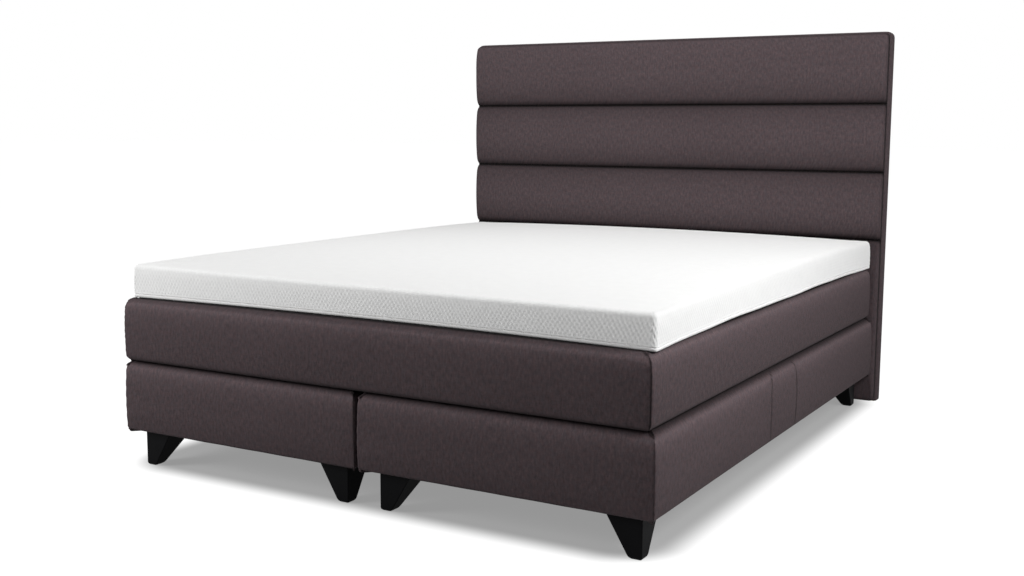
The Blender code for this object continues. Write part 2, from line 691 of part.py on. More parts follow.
def build_mattress_filling(centre, half, low_z, high_z):
    """Base foam with a rounded lower edge, edge foam, pocket springs and top foam, from the bottom up."""
    side_inset = MATTRESS_WALL + SEAT_GAP
    base_radius = MATTRESS_SIDE_CROWN + MATTRESS_BASE_RADIUS - side_inset
    core_low_z = low_z + MATTRESS_BASE_FOAM + SEAT_GAP
    core_high_z = high_z - MATTRESS_TOP_FOAM - SEAT_GAP
    profiles = {
        "base": [(side_inset, core_low_z - SEAT_GAP)] + lower_edge(base_radius, low_z, side_inset, ARC_STEPS),
        "top": [(side_inset, core_high_z + SEAT_GAP), (side_inset, high_z)],
    }
    for layer, profile in profiles.items():
        foam = bmesh.new()
        loft(foam, inset_rings(centre, half, MATTRESS_CORNER_RADIUS, MATTRESS_INNER_RADIUS, profile))
        make_piece(f"mattress_{layer}_foam", foam, FOAM)
    ring_inset = side_inset + MATTRESS_EDGE_FOAM
    profile = ring_profile((side_inset, ring_inset), (core_low_z, core_high_z))
    rings = inset_rings(centre, half, MATTRESS_CORNER_RADIUS, MATTRESS_INNER_RADIUS, profile)
    make_piece("mattress_edge_foam", closed_band(rings), FOAM)
    core_half = (half[0] - ring_inset - SEAT_GAP, half[1] - ring_inset - SEAT_GAP)
    springs = bmesh.new()
    add_prism(springs, pocket_outline(centre, core_half, MATTRESS_POCKET), core_low_z, core_high_z)
    make_piece("mattress_spring_core", springs, POCKET_FLEECE)


def ring_profile(insets, heights):
    """Section of a flat ring between two insets and two heights."""
    outer, inner = insets
    low_z, high_z = heights
    return [(outer, low_z), (outer, high_z), (inner, high_z), (inner, low_z)]


def closed_band(rings):
    """Skin a row of equal rings whose last ring joins the first."""
    shape = bmesh.new()
    rows = [[shape.verts.new(point) for point in ring] for ring in rings]
    count = len(rows[0])
    for row, following in zip(rows, rows[1:] + rows[:1]):
        for i in range(count):
            j = (i + 1) % count
            shape.faces.new((row[i], row[j], following[j], following[i]))
    return shape


def topper_plan():
    """Centre, half width and half length of the topper."""
    half_x = BED_WIDTH / 2 - MATTRESS_SIDE_SETBACK - TOPPER_SIDE_SETBACK
    low_y = FOOT_Y + TOPPER_FOOT_SETBACK
    high_y = PAD_FRONT_Y - TOPPER_HEAD_CLEARANCE
    return (0, (low_y + high_y) / 2), (half_x, (high_y - low_y) / 2)


def crown_profile(half_x, start_inset, edge_z):
    """Crowned top as (inset, height) points, from its middle out to the inset where the edge starts."""
    reach = half_x * CROWN_REACH_SHARE - start_inset
    points = []
    for share in reversed(CROWN_INSET_SHARES):
        rise = TOPPER_CROWN * (1 - (1 - share) ** 2)
        points.append((start_inset + reach * share, edge_z + rise))
    return points


def build_topper():
    """Topper: crowned knit cover, shallow base cover, zip tape behind the seam and a foam core."""
    centre, half = topper_plan()
    seam_z = TOPPER_LOW_Z + TOPPER_SEAM_RISE
    crown_inset = TOPPER_SIDE_CROWN + TOPPER_TOP_RADIUS
    inner_edge_z = TOPPER_EDGE_Z - TOPPER_WALL
    middle_z = (seam_z + TOPPER_EDGE_Z) / 2
    profile = crown_profile(half[0], crown_inset, TOPPER_EDGE_Z)
    profile += upper_edge(TOPPER_TOP_RADIUS, TOPPER_EDGE_Z, TOPPER_SIDE_CROWN, ARC_STEPS)
    profile += [(0, middle_z), (TOPPER_SIDE_CROWN, seam_z + SEAT_GAP)]
    side_inset = TOPPER_SIDE_CROWN + TOPPER_WALL
    inner_radius = TOPPER_TOP_RADIUS - TOPPER_WALL
    inner = crown_profile(half[0], crown_inset, inner_edge_z)
    inner += upper_edge(inner_radius, inner_edge_z, side_inset, ARC_STEPS)
    inner.append((side_inset, seam_z + SEAT_GAP))
    profile += reversed(inner)
    cover = bmesh.new()
    loft(cover, inset_rings(centre, half, TOPPER_CORNER_RADIUS, TOPPER_INNER_RADIUS, profile))
    make_piece("topper_cover", cover, WHITE_KNIT)

    floor_z = TOPPER_LOW_Z + TOPPER_WALL
    profile = [(side_inset, floor_z), (side_inset, seam_z), (TOPPER_SIDE_CROWN, seam_z)]
    profile += lower_edge(TOPPER_BASE_RADIUS, TOPPER_LOW_Z, TOPPER_SIDE_CROWN, SMALL_ARC_STEPS)
    base = bmesh.new()
    loft(base, inset_rings(centre, half, TOPPER_CORNER_RADIUS, TOPPER_INNER_RADIUS, profile))
    make_piece("topper_base_cover", base, WHITE_KNIT)

    tape_outer = side_inset + SEAT_GAP
    tape_inner = tape_outer + ZIP_TAPE_THICKNESS
    tape_low_z = floor_z + SEAT_GAP
    profile = ring_profile((tape_outer, tape_inner), (tape_low_z, tape_low_z + ZIP_TAPE_HEIGHT))
    rings = inset_rings(centre, half, TOPPER_CORNER_RADIUS, TOPPER_INNER_RADIUS, profile)
    make_piece("topper_zip_tape", closed_band(rings), WHITE_KNIT)

    core_inset = tape_inner + SEAT_GAP
    core_edge_z = inner_edge_z - SEAT_GAP
    core_radius = inner_radius - (core_inset - side_inset)
    profile = crown_profile(half[0], crown_inset, core_edge_z)
    profile += upper_edge(core_radius, core_edge_z, core_inset, ARC_STEPS)
    profile.append((core_inset, floor_z + SEAT_GAP))
    core = bmesh.new()
    loft(core, inset_rings(centre, half, TOPPER_CORNER_RADIUS, TOPPER_INNER_RADIUS, profile))
    make_piece("topper_core", core, FOAM)


def eased_places(low, high, low_reach, high_reach, steps):
    """Places from low to high, close together where each end curves away, with the curve's share there."""
    places = []
    for step in range(steps + 1):
        angle = math.pi / 2 * step / steps
        places.append((low + low_reach * (1 - math.cos(angle)), 1 - math.sin(angle), 0))
    for step in range(steps, -1, -1):
        angle = math.pi / 2 * step / steps
        places.append((high - high_reach * (1 - math.cos(angle)), 0, 1 - math.sin(angle)))
    return places


def build_pad(name, low_z, high_z, low_pinch, high_pinch):
    """One padded stretch of the headboard's front, pulled back to its seams and rounded at its free edges."""
    half_x = BED_WIDTH / 2 + HEADBOARD_OVERHANG - CHANNEL_BORDER
    edge = (CHANNEL_EDGE_RADIUS, CHANNEL_EDGE_RADIUS)
    seam = (CHANNEL_PINCH_REACH, CHANNEL_PINCH)
    low_reach, low_depth = seam if low_pinch else edge
    high_reach, high_depth = seam if high_pinch else edge
    rows = eased_places(low_z, high_z, low_reach, high_reach, ARC_STEPS)
    columns = eased_places(-half_x, half_x, edge[0], edge[0], SMALL_ARC_STEPS)
    shape = bmesh.new()
    grid = []
    for z, low_share, high_share in rows:
        line = []
        for x, left_share, right_share in columns:
            back = low_depth * low_share + high_depth * high_share + edge[1] * (left_share + right_share)
            line.append(shape.verts.new((x, PAD_FRONT_Y + back, z)))
        grid.append(line)
    for line, above in zip(grid, grid[1:]):
        for i in range(len(line) - 1):
            shape.faces.new((line[i], line[i + 1], above[i + 1], above[i]))
    right_side = [line[-1] for line in grid[1:-1]]
    left_side = [line[0] for line in reversed(grid[1:-1])]
    rim = grid[0] + right_side + list(reversed(grid[-1])) + left_side
    back_rim = [shape.verts.new((vert.co.x, PAD_BACK_Y, vert.co.z)) for vert in rim]
    for i in range(len(rim)):
        j = (i + 1) % len(rim)
        shape.faces.new((rim[i], rim[j], back_rim[j], back_rim[i]))
    shape.faces.new(back_rim)
    return make_piece(name, shape, DARK_FABRIC)


def build_headboard_front(bolt_holes):
    """Three channels from the top down, then the plain panel behind the mattress and the boxes."""
    seam_z = HEADBOARD_HEIGHT - CHANNEL_BORDER
    heights = (("top", CHANNEL_TOP_HEIGHT), ("middle", CHANNEL_HEIGHT), ("lower", CHANNEL_HEIGHT))
    for level, height in heights:
        low_z = seam_z - height
        build_pad(f"headboard_{level}_channel", low_z + SEAT_GAP, seam_z, True, level != "top")
        seam_z = low_z
    panel = build_pad("headboard_plain_panel", PANEL_FLOOR_GAP, seam_z, False, True)
    cut(panel, bolt_holes)


def slab_cavity():
    """Half width, top and front and back faces of the space that the side cover wraps."""
    half_x = BED_WIDTH / 2 + HEADBOARD_OVERHANG - SIDE_COVER_WALL - SEAT_GAP
    top_z = HEADBOARD_HEIGHT - SIDE_COVER_WALL - SEAT_GAP
    return half_x, top_z, SLAB_FRONT_Y, SLAB_BACK_Y - SIDE_COVER_WALL - SEAT_GAP


def arch_path(inset):
    """Path up one side, round both top corners and down the other side, at an inset from the outside."""
    half_x = BED_WIDTH / 2 + HEADBOARD_OVERHANG - inset
    top_z = HEADBOARD_HEIGHT - inset
    radius = max(SLAB_CORNER_RADIUS - inset, SIDE_COVER_WALL)
    points = [(-half_x, SIDE_COVER_FLOOR_GAP)]
    for centre_x, start in ((radius - half_x, math.pi), (half_x - radius, math.pi / 2)):
        for step in range(ARC_STEPS + 1):
            angle = start - math.pi / 2 * step / ARC_STEPS
            points.append((centre_x + radius * math.cos(angle), top_z - radius + radius * math.sin(angle)))
    points.append((half_x, SIDE_COVER_FLOOR_GAP))
    return points


def build_side_cover():
    """Fabric wrapped over the slab's sides and top, and turned in behind as a lip."""
    wall = SIDE_COVER_WALL
    section = [(0, SLAB_FRONT_Y)]
    for step in range(SMALL_ARC_STEPS + 1):
        angle = math.pi / 2 * step / SMALL_ARC_STEPS
        inset = SLAB_EDGE_RADIUS * (1 - math.cos(angle))
        section.append((inset, SLAB_BACK_Y - SLAB_EDGE_RADIUS * (1 - math.sin(angle))))
    section += [(SIDE_COVER_LIP, SLAB_BACK_Y), (SIDE_COVER_LIP, SLAB_BACK_Y - wall)]
    section += [(wall, SLAB_BACK_Y - wall), (wall, SLAB_FRONT_Y)]
    paths = [[(x, y, z) for x, z in arch_path(inset)] for inset, y in section]
    shape = bmesh.new()
    loft(shape, [[path[i] for path in paths] for i in range(len(paths[0]))])
    make_piece("headboard_side_cover", shape, DARK_FABRIC)


def build_headboard_frame(bolt_holes, head_bores):
    """Timber frame of two stiles and three rails, with the front board on it and glides below."""
    half_x, top_z, front_y, back_y = slab_cavity()
    board = bmesh.new()
    add_prism_y(board, arch_path(SIDE_COVER_WALL + SEAT_GAP), front_y, front_y + FRONT_BOARD)
    board_piece = make_piece("headboard_front_board", board, PLYWOOD)
    cut(board_piece, bolt_holes)

    frame_y = front_y + FRONT_BOARD + SEAT_GAP
    stile_high_z = top_z - (SLAB_CORNER_RADIUS - SIDE_COVER_WALL)
    for label, way in (("left", -1), ("right", 1)):
        faces = sorted((way * half_x, way * (half_x - STILE_WIDTH)))
        low, high = (faces[0], frame_y, GLIDE_HEIGHT + SEAT_GAP), (faces[1], back_y, stile_high_z)
        make_piece(f"headboard_{label}_stile", block(low, high), PINE)

    rail_half_x = half_x - STILE_WIDTH - SEAT_GAP
    half_rail = HEADBOARD_RAIL_HEIGHT / 2
    middles = {
        "bolt": BOLT_RAIL_Z,
        "middle": HEADBOARD_HEIGHT * MIDDLE_RAIL_HEIGHT_SHARE,
        "top": top_z - half_rail,
    }
    for level, middle_z in middles.items():
        low = (-rail_half_x, frame_y, middle_z - half_rail)
        high = (rail_half_x, back_y, middle_z + half_rail)
        rail = make_piece(f"headboard_{level}_rail", block(low, high), PINE)
        if level == "bolt":
            cut(rail, bolt_holes)
            cut(rail, head_bores)

    glide_y = (frame_y + back_y) / 2
    for label, way in (("left", -1), ("right", 1)):
        glide = bmesh.new()
        outline = circle(way * (half_x - STILE_WIDTH / 2), glide_y, GLIDE_RADIUS, GLIDE_SIDES)
        add_prism(glide, outline, 0, GLIDE_HEIGHT)
        make_piece(f"headboard_{label}_glide", glide, BLACK_PLASTIC)


def build_back_cloth(head_bores):
    """Black cloth over the frame's back, inside the side cover's lip, with holes at the bolt heads."""
    low_y = SLAB_BACK_Y - SIDE_COVER_WALL
    shape = bmesh.new()
    add_prism_y(shape, arch_path(SIDE_COVER_LIP + SEAT_GAP), low_y, low_y + DUST_CLOTH_THICKNESS)
    cloth = make_piece("headboard_back_cloth", shape, BLACK_CLOTH)
    cut(cloth, head_bores)


def build_headboard_bolts():
    """Bolts from the headboard's back, through its bolt rail and front, into the boxes' head rails."""
    seat_y = SLAB_BACK_Y - SIDE_COVER_WALL - HEADBOARD_COUNTERBORE + SEAT_GAP
    tip_y = BOX_HEAD_Y - COVER_WALL - SEAT_GAP - RAIL_THICKNESS
    names = ("left_outer", "left_inner", "right_inner", "right_outer")
    for name, x in zip(names, headboard_bolt_places()):
        stages = [
            (tip_y, HEADBOARD_BOLT_RADIUS),
            (seat_y, HEADBOARD_BOLT_RADIUS),
            (seat_y, HEADBOARD_BOLT_HEAD_RADIUS),
            (seat_y + HEADBOARD_BOLT_HEAD, HEADBOARD_BOLT_HEAD_RADIUS),
        ]
        shape = bmesh.new()
        add_rod_y(shape, x, BOLT_RAIL_Z, stages)
        make_piece(f"headboard_{name}_bolt", shape, STEEL)


def main():
    """Build the whole bed."""
    clear_scene()
    peg_holes = peg_cutter()
    bolt_holes, head_bores = headboard_bolt_cutters()
    for label, side in (("left", -1), ("right", 1)):
        build_box(label, side, peg_holes, bolt_holes)
    build_links()
    build_mattress()
    build_topper()
    build_headboard_front(bolt_holes)
    build_side_cover()
    build_headboard_frame(bolt_holes, head_bores)
    build_back_cloth(head_bores)
    build_headboard_bolts()


main()
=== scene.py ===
"""Looks of the box spring bed: camera, floor, light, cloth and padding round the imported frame.

Metres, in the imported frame: +X to the right as seen from the foot end, +Y towards the headboard, +Z up.
"""

import json
import math

import bmesh
import bpy
import numpy as np
from mathutils import Matrix, Vector


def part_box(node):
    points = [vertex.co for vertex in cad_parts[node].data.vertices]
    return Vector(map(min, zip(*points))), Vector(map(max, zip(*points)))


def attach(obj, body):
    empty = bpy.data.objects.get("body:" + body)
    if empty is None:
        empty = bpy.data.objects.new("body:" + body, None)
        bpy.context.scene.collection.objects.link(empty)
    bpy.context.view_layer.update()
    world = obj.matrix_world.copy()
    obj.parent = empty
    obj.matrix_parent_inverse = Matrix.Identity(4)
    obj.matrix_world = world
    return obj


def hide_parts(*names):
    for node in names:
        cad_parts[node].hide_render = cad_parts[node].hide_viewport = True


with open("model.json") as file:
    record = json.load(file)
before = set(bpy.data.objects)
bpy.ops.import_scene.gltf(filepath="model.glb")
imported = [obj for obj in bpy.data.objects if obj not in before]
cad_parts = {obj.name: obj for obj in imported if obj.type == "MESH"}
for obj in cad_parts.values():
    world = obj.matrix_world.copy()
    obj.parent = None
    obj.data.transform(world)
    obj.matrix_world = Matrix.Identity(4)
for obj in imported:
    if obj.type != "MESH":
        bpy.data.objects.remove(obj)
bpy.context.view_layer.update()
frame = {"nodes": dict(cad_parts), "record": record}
scene = bpy.context.scene

# The photograph's viewpoint
CAMERA_PLACE = (2.0275, -3.7242, 1.0663)
CAMERA_LENS = 42.81
CAMERA_SENSOR = 36.0
CAMERA_HEADING = math.radians(30.111)
CAMERA_DIP = math.radians(7.548)
CAMERA_LEAN = math.radians(0.233)

# Light and floor
WHITE = (1.0, 1.0, 1.0)
WORLD_LEVEL = 0.03
FLOOR_COLOUR = (0.55, 0.55, 0.55)
FLOOR_SEEN_COLOUR = (0.16, 0.16, 0.16)
# Painted shadow on the floor: the camera-seen glow within a soft rectangle round the bed's footprint, its
# middle and half size, and how far out the glow starts to rise and reaches white
FLOOR_PAINTED_SHADOW_GLOW = 0.30
FLOOR_REACH = 60.0
FLOOR_PAINTED_SHADOW_CENTRE = (-0.019, 0.018, 0.0)
FLOOR_PAINTED_SHADOW_HALF = (0.747, 0.932, 1.0)
FLOOR_GLOW_START = 0.111
FLOOR_GLOW_REACH = 0.224
# Each lamp: name, place, point it faces, width, depth, watts
LAMPS = (
    ("overhead_softbox", (-0.7, -0.4, 2.7), (0.0, 0.3, 0.65), 1.9, 1.7, 7.0),
    ("head_softbox", (-0.3, -0.1, 2.9), (-0.1, 0.95, 1.0), 2.0, 0.9, 22.0),
    ("right_softbox", (3.2, -0.6, 2.4), (0.9, -0.2, 0.4), 0.8, 1.2, 97.0),
    ("front_softbox", (-3.1, -3.8, 2.3), (-0.4, -1.0, 0.35), 1.6, 1.6, 148.0),
)

# Colours, linear
CLOTH_WARM = (0.0775, 0.0555, 0.0590)
CLOTH_COOL = (0.0660, 0.0527, 0.0575)
THREAD_DARK = (0.026, 0.021, 0.022)
KNIT_WHITE = (0.925, 0.925, 0.92)
THREAD_WHITE = (0.80, 0.81, 0.81)
BLACK_FLEECE = (0.020, 0.020, 0.021)
WHITE_FLEECE = (0.76, 0.76, 0.74)
FOAM_CREAM = (0.80, 0.77, 0.62)
PINE_LIGHT = (0.66, 0.48, 0.29)
PINE_DARK = (0.45, 0.28, 0.13)
PLY_LIGHT = (0.62, 0.46, 0.30)
PLY_DARK = (0.50, 0.35, 0.21)
PLASTIC_BLACK = (0.0024, 0.0024, 0.0028)
STEEL_GREY = (0.52, 0.53, 0.54)

# Threads and dots of the cloths
WEAVE_PITCH = 0.0021
KNIT_PITCH = 0.0026
BLACK_FLEECE_DOTS = 0.0025
WHITE_FLEECE_DOTS = 0.003
NOISE_RANGE = (0.3, 0.7)

# Meshes of the padded tiers: the spacing that is swelled, and how much finer the finished sides are
SWELL_SPACING = 0.036
TIER_FINENESS = 4
TOPPER_SPACING = 0.026
TOPPER_FINENESS = 8
TOPPER_SEAM_ROW = -TOPPER_FINENESS - 3
CORNER_HALF_STEPS = 2
LEAST_CORNER = 0.003
WRAP_THICKNESS = 0.004
SIDE_ROWS = 4

# Swelling
SWELL_FRAMES = 20
SWELL_PRESSURE = 2.0
CLOTH_QUALITY = 5
CLOTH_STIFFNESS = 25.0
CLOTH_SHEAR = CLOTH_STIFFNESS / 3
CLOTH_MASS = 0.3
CLOTH_BENDING = 0.5
TIER_SWELL = 0.002
TOPPER_SWELL = 0.003
PAD_SWELL = 0.003
HOLD_MARGIN = 0.001

# Painted light on the cloth: painted shade in creases, along seams, under the parts that lie on it and
# towards lower edges, and painted highlights below upper edges
PAINTED_SHADE_TONE = 0.15
PAINTED_SHADE_REACH = 0.013
# Painted shade along the line where the topper lies on the mattress: distance of full shade, distance where
# it fades out, and a scale on the distance at the head and foot end
CONTACT_REACH = 0.007
CONTACT_FADE = 0.011
CONTACT_STRETCH = 0.8
# Painted shade on a covered top's edge: how far in it is full, and the width over which it fades
CONTACT_INNER = 0.052
CONTACT_BAND = 0.02
SEAM_SHADE_REACH = 0.0045
SEAM_SHADE_SHARE = 0.85
PAD_PAINTED_SHADE_DEPTH = 0.035
# Painted highlight below the upper edge of the upholstered sides: its tone, how far below the edge it peaks,
# how fast it fades below that and how it rises above
PAINTED_HIGHLIGHT_TONE = 1.75
PAINTED_HIGHLIGHT_PEAK = 0.019
PAINTED_HIGHLIGHT_TAIL = 0.028
PAINTED_HIGHLIGHT_POWER = 3
# Painted shade towards the lower edge of the upholstered sides, and how high it reaches
PAINTED_LOW_SHADE = 0.16
PAINTED_LOW_SHADE_REACH = 0.09

# Boxes
BOX_TOP_ROUND = 0.034
BOX_BASE_ROUND = 0.011
BOX_CORNER_ROUND = 0.012
BOX_PROUD = 0.002
BOX_BULGE = 0.002
HEM_WIDTH = 0.034

# Mattress
MATTRESS_TOP_ROUND = 0.032
MATTRESS_BASE_ROUND = 0.024
MATTRESS_CORNER_ROUND = 0.017
MATTRESS_PROUD = 0.005
CORNER_DROOP = 0.011
# Shares of the droop: right corners at the head and foot end, and both left corners
WORN_HEAD = 0.75
WORN_FOOT = 1.0
WORN_LEFT = 0.65

# Upholstered sides
SIDE_SWELL = 0.003
SIDE_CROWN = 0.003
SEAM_DEPTH = 0.0028
WELT_HEIGHT = 0.0009
PUCKER_DEPTH = 0.0012
PUCKER_PITCH = 0.016
PUCKER_REACH = 0.035
PUCKER_COLUMNS = 14
PUCKER_DRIFT = 0.35
PUCKER_SHIFT = 1.7

# Topper
TOPPER_TOP_ROUND = 0.016
TOPPER_BASE_ROUND = 0.006
TOPPER_CORNER_ROUND = 0.018
TOPPER_SIDE_SWELL = 0.0025
TOPPER_PROUD = 0.0005
TOPPER_SEAM_RISE = 0.010
TOPPER_EDGE_HEIGHT = 0.092
TOPPER_ROLL = 0.0035
TOPPER_BASE_STEP = 0.013
# Upper edge of the topper's base: inset from its side and distance below the seam
TOPPER_LIP = ((TOPPER_ROLL, 0.0002), (0.0004, 0.001))
# Height of the topper's crown at the foot and head end, by powers of the place across the bed
TOPPER_FOOT = (-0.001, -0.0045, 0.0095)
TOPPER_HEAD = (0.016, -0.004)
TOPPER_RAMP = 0.9
RIM_WIDTH = 0.014
RIM_DROOP = 0.0022
RIM_RELIEF = 0.4
# Waves along the rim: height, turns and start
RIM_WAVES = ((0.6, 7.3, 1.9), (0.4, 16.1, 0.4))
DIMPLE_WIDTH = 0.013
DIMPLE_HEIGHT = 0.009
DIMPLE_DEPTH = 0.0020
DIMPLE_SLANT = 0.10
DIMPLE_SHARPNESS = 1.8
DIMPLE_TOP_RISE = 2.6
DIMPLE_TOP_SHARE = 0.32
DIMPLE_LOW_GAP = 0.004
DIMPLE_LOW_RISE = 0.006
# Painted shade in the knit's dimples: the tone at a dimple's deepest point
DIMPLE_PAINTED_SHADE = 0.85
DIMPLE_WAVE = 0.62

# Headboard
PAD_PROUD = 0.002
PAD_FOOT_DROP = 0.007
PAD_SPACING = 0.024
PAD_EDGE_ROUND = 0.010
PAD_CORNER_ROUND = 0.018
# Reach and depth of a pad's tight roll, then of its slow crown, at a seam, a free edge and a side
PAD_SEAM = (0.032, 0.022, 0.128, 0.013)
PAD_EDGE = (0.014, 0.012, 0.095, 0.016)
PAD_SIDE = (0.010, 0.010, 0.024, 0.001)
PAD_FRONT_ROOM = 0.001
PAD_BACK_ROOM = 0.0014
PAD_LEAST_DEPTH = 0.003
PAD_ROLL_STEPS = 8
PAD_CROWN_STEPS = 6
PAD_CROWN_POWER = 2.2
# Painted shade of the pads: how it fades away from a seam
PAD_PAINTED_SHADE_POWER = 0.9
PAD_RIM_LEVELS = 3
# Painted shade on the pads' sides: it starts this far behind the front and is full after as much again
PAD_SIDE_SHADE_RAMP = 0.013
WRAP_PROUD = 0.002
WRAP_FRONT_PROUD = 0.0012
WRAP_BULGE = 0.0006
WRAP_LEVELS = (0.35, 0.5, 0.65)
WRAP_LIP_ROOM = 0.001
WRAP_CORNER_ROUND = 0.022
WRAP_EDGE_ROUND = 0.007
WRAP_FRONT_LIP = 0.016
WRAP_WALL = 0.0010

# Sewing and stapling
STITCH_PITCH = 0.0062
STITCH_LENGTH = 0.0044
THREAD_RADIUS = 0.00045
THREAD_RISE = 0.6
# The stitches lie this many columns beside a corner's seam and leave out this many rows at each end
THREAD_COLUMNS = 2
THREAD_TRIM = 2
STAPLE_PITCH = 0.045
STAPLE_WIDTH = 0.011
STAPLE_WIRE = 0.0009

# Pocket springs
BOX_POCKET = 0.080
MATTRESS_POCKET = 0.065
POCKET_BULGE = 0.10
POCKET_GAP = 0.0005
POCKET_ROOM = 0.008
POCKET_SLACK = 0.02

# Foam: each slab's eased upper and lower edge. Rings: the firm foam round the springs and the zip's tape
FOAM_INSET = 0.004
FOAM_CORNER_ROUND = 0.018
FOAM_SPACING = 0.06
FOAM_STEPS = (5, 4)
BOX_FOAM = (0.022, 0.004)
MATTRESS_TOP_FOAM = (0.012, 0.003)
MATTRESS_BASE_FOAM = (0.003, 0.014)
TOPPER_FOAM = (0.012, 0.004)
TOPPER_FOAM_ROOM = 0.012
EDGE_FOAM_CORNER = 0.02
EDGE_FOAM_EASE = (0.001, 0.003)
RING_SPACING = 0.05
ZIP_BULGE = 0.0008
ZIP_THICKNESS = 0.001

# Cloths stapled to frames
CLOTH_SPACING = 0.03
CLOTH_THICKNESS = 0.0008
CLOTH_RIPPLE = 0.0003
RIPPLE_ACROSS = 41
RIPPLE_ALONG = 37
RIPPLE_SWAY = 1.3
RIPPLE_SWAY_TURNS = 9
BACK_CLOTH_TURN = 0.019
STAPLE_INSET = 0.012


def new_object(name, mesh, material=None):
    """Link a mesh to the scene as an object, with one material."""
    thing = bpy.data.objects.new(name, mesh)
    scene.collection.objects.link(thing)
    if material:
        mesh.materials.append(material)
    return thing


def mesh_from(name, points, faces, corner_uvs=None, smooth=True):
    """A mesh from points and faces, with a UV for each face corner in metres."""
    mesh = bpy.data.meshes.new(name)
    mesh.from_pydata(np.asarray(points, float).tolist(), [], [tuple(int(i) for i in face) for face in faces])
    if corner_uvs is not None:
        layer = mesh.uv_layers.new(name="cloth")
        layer.data.foreach_set("uv", np.asarray(corner_uvs, np.float32).ravel())
    if smooth:
        mesh.shade_smooth()
    mesh.update()
    return mesh


def read_points(mesh):
    """A mesh's points as an array."""
    flat = np.empty(len(mesh.vertices) * 3, np.float64)
    mesh.vertices.foreach_get("co", flat)
    return flat.reshape(-1, 3)


def write_points(mesh, points):
    """Move a mesh's points to those of an array."""
    mesh.vertices.foreach_set("co", points.astype(np.float32).ravel())
    mesh.update()


def settle(piece):
    """Apply all of a piece's modifiers."""
    evaluated = piece.evaluated_get(bpy.context.evaluated_depsgraph_get())
    mesh = bpy.data.meshes.new_from_object(evaluated)
    mesh.name = piece.name
    piece.modifiers.clear()
    piece.data = mesh
    mesh.shade_smooth()


def refine(piece):
    """Smooth a piece with subdivision."""
    surface = piece.modifiers.new("smooth", "SUBSURF")
    surface.levels = surface.render_levels = 1
    settle(piece)


def thicken(piece, thickness):
    """Give a sheet its thickness, inwards."""
    wall = piece.modifiers.new("wall", "SOLIDIFY")
    wall.thickness = thickness
    wall.offset = -1.0
    wall.use_rim = True
    settle(piece)


def node_block(node):
    """Middle, half width and half length, and lowest and highest point of a CAD node."""
    low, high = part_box(node)
    centre = np.array([(low[0] + high[0]) / 2, (low[1] + high[1]) / 2])
    return centre, ((high[0] - low[0]) / 2, (high[1] - low[1]) / 2), low[2], high[2]


def note(mesh, name, shares):
    """Note a value on each of a mesh's points, for its material to read."""
    values = np.asarray(shares, np.float32).ravel()
    mesh.attributes.new(name, "FLOAT", "POINT").data.foreach_set("value", values)


def mark_painted_light(mesh, shares):
    """Note the painted light on each point: painted shade up to 1, painted highlight down to -1."""
    note(mesh, "painted_light", np.clip(shares, -1, 1))


def covered_edge(points, centre, half):
    """Share of painted shade on a covered top: all along its edge, none further in, where the cloth lies
    free.
    """
    inside = (np.array(half) - np.abs(points[:, :2] - centre)).min(axis=1)
    return np.clip((CONTACT_INNER - inside) / CONTACT_BAND, 0, 1)


def side_painted_light(heights, low_z, high_z, painted_shades):
    """Painted light of an upholstered side: a painted highlight below its upper edge and painted shade
    towards its lower one, added to the painted shade that is given.
    """
    below = high_z - heights
    rise = np.clip(below / PAINTED_HIGHLIGHT_PEAK, 0, 1) ** PAINTED_HIGHLIGHT_POWER
    tail = np.exp(-np.maximum(below - PAINTED_HIGHLIGHT_PEAK, 0) / PAINTED_HIGHLIGHT_TAIL)
    dim = PAINTED_LOW_SHADE * np.clip(1 - (heights - low_z) / PAINTED_LOW_SHADE_REACH, 0, 1)
    painted_shades = np.clip(painted_shades, 0, 1)
    return painted_shades + (dim - rise * tail) * (1 - painted_shades)


def finish_piece(piece, body, slot, *nodes):
    """Attach a piece to the body it moves with and hide the CAD nodes it stands for. The slot is not used."""
    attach(piece, body)
    if nodes:
        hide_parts(*nodes)


class NodeTree:
    """Short way to write a node tree."""

    def __init__(self, tree):
        self.tree = tree

    def link(self, source, target):
        """Link an output socket to an input socket."""
        self.tree.links.new(source, target)

    def feed(self, socket, value):
        """Link or set one input."""
        if isinstance(value, bpy.types.NodeSocket):
            self.link(value, socket)
        elif isinstance(value, tuple) and len(value) == 3 and socket.type == "RGBA":
            socket.default_value = (*value, 1.0)
        else:
            socket.default_value = value

    def node(self, kind, links=(), **settings):
        """Add a node: settings are its properties, links are (input, value or output socket)."""
        node = self.tree.nodes.new(kind)
        for key, value in settings.items():
            setattr(node, key, value)
        for socket, value in dict(links).items():
            self.feed(node.inputs[socket], value)
        return node

    def out(self, kind, links=(), **settings):
        """Add a node and give its first output."""
        return self.node(kind, links, **settings).outputs[0]

    def math(self, operation, first, second=None):
        """One Math node's output."""
        links = {0: first} if second is None else {0: first, 1: second}
        return self.out("ShaderNodeMath", links, operation=operation)

    def product(self, first, *others):
        """All the values multiplied."""
        for value in others:
            first = self.math("MULTIPLY", first, value)
        return first

    def blend(self, first, first_share, second, second_share):
        """Two values added, each by its share."""
        return self.math("ADD", self.product(first, first_share), self.product(second, second_share))

    def remap(self, value, low, high, to_low, to_high, **settings):
        """A value brought from one range to another."""
        links = {"Value": value, "From Min": low, "From Max": high, "To Min": to_low, "To Max": to_high}
        return self.out("ShaderNodeMapRange", links, **settings)


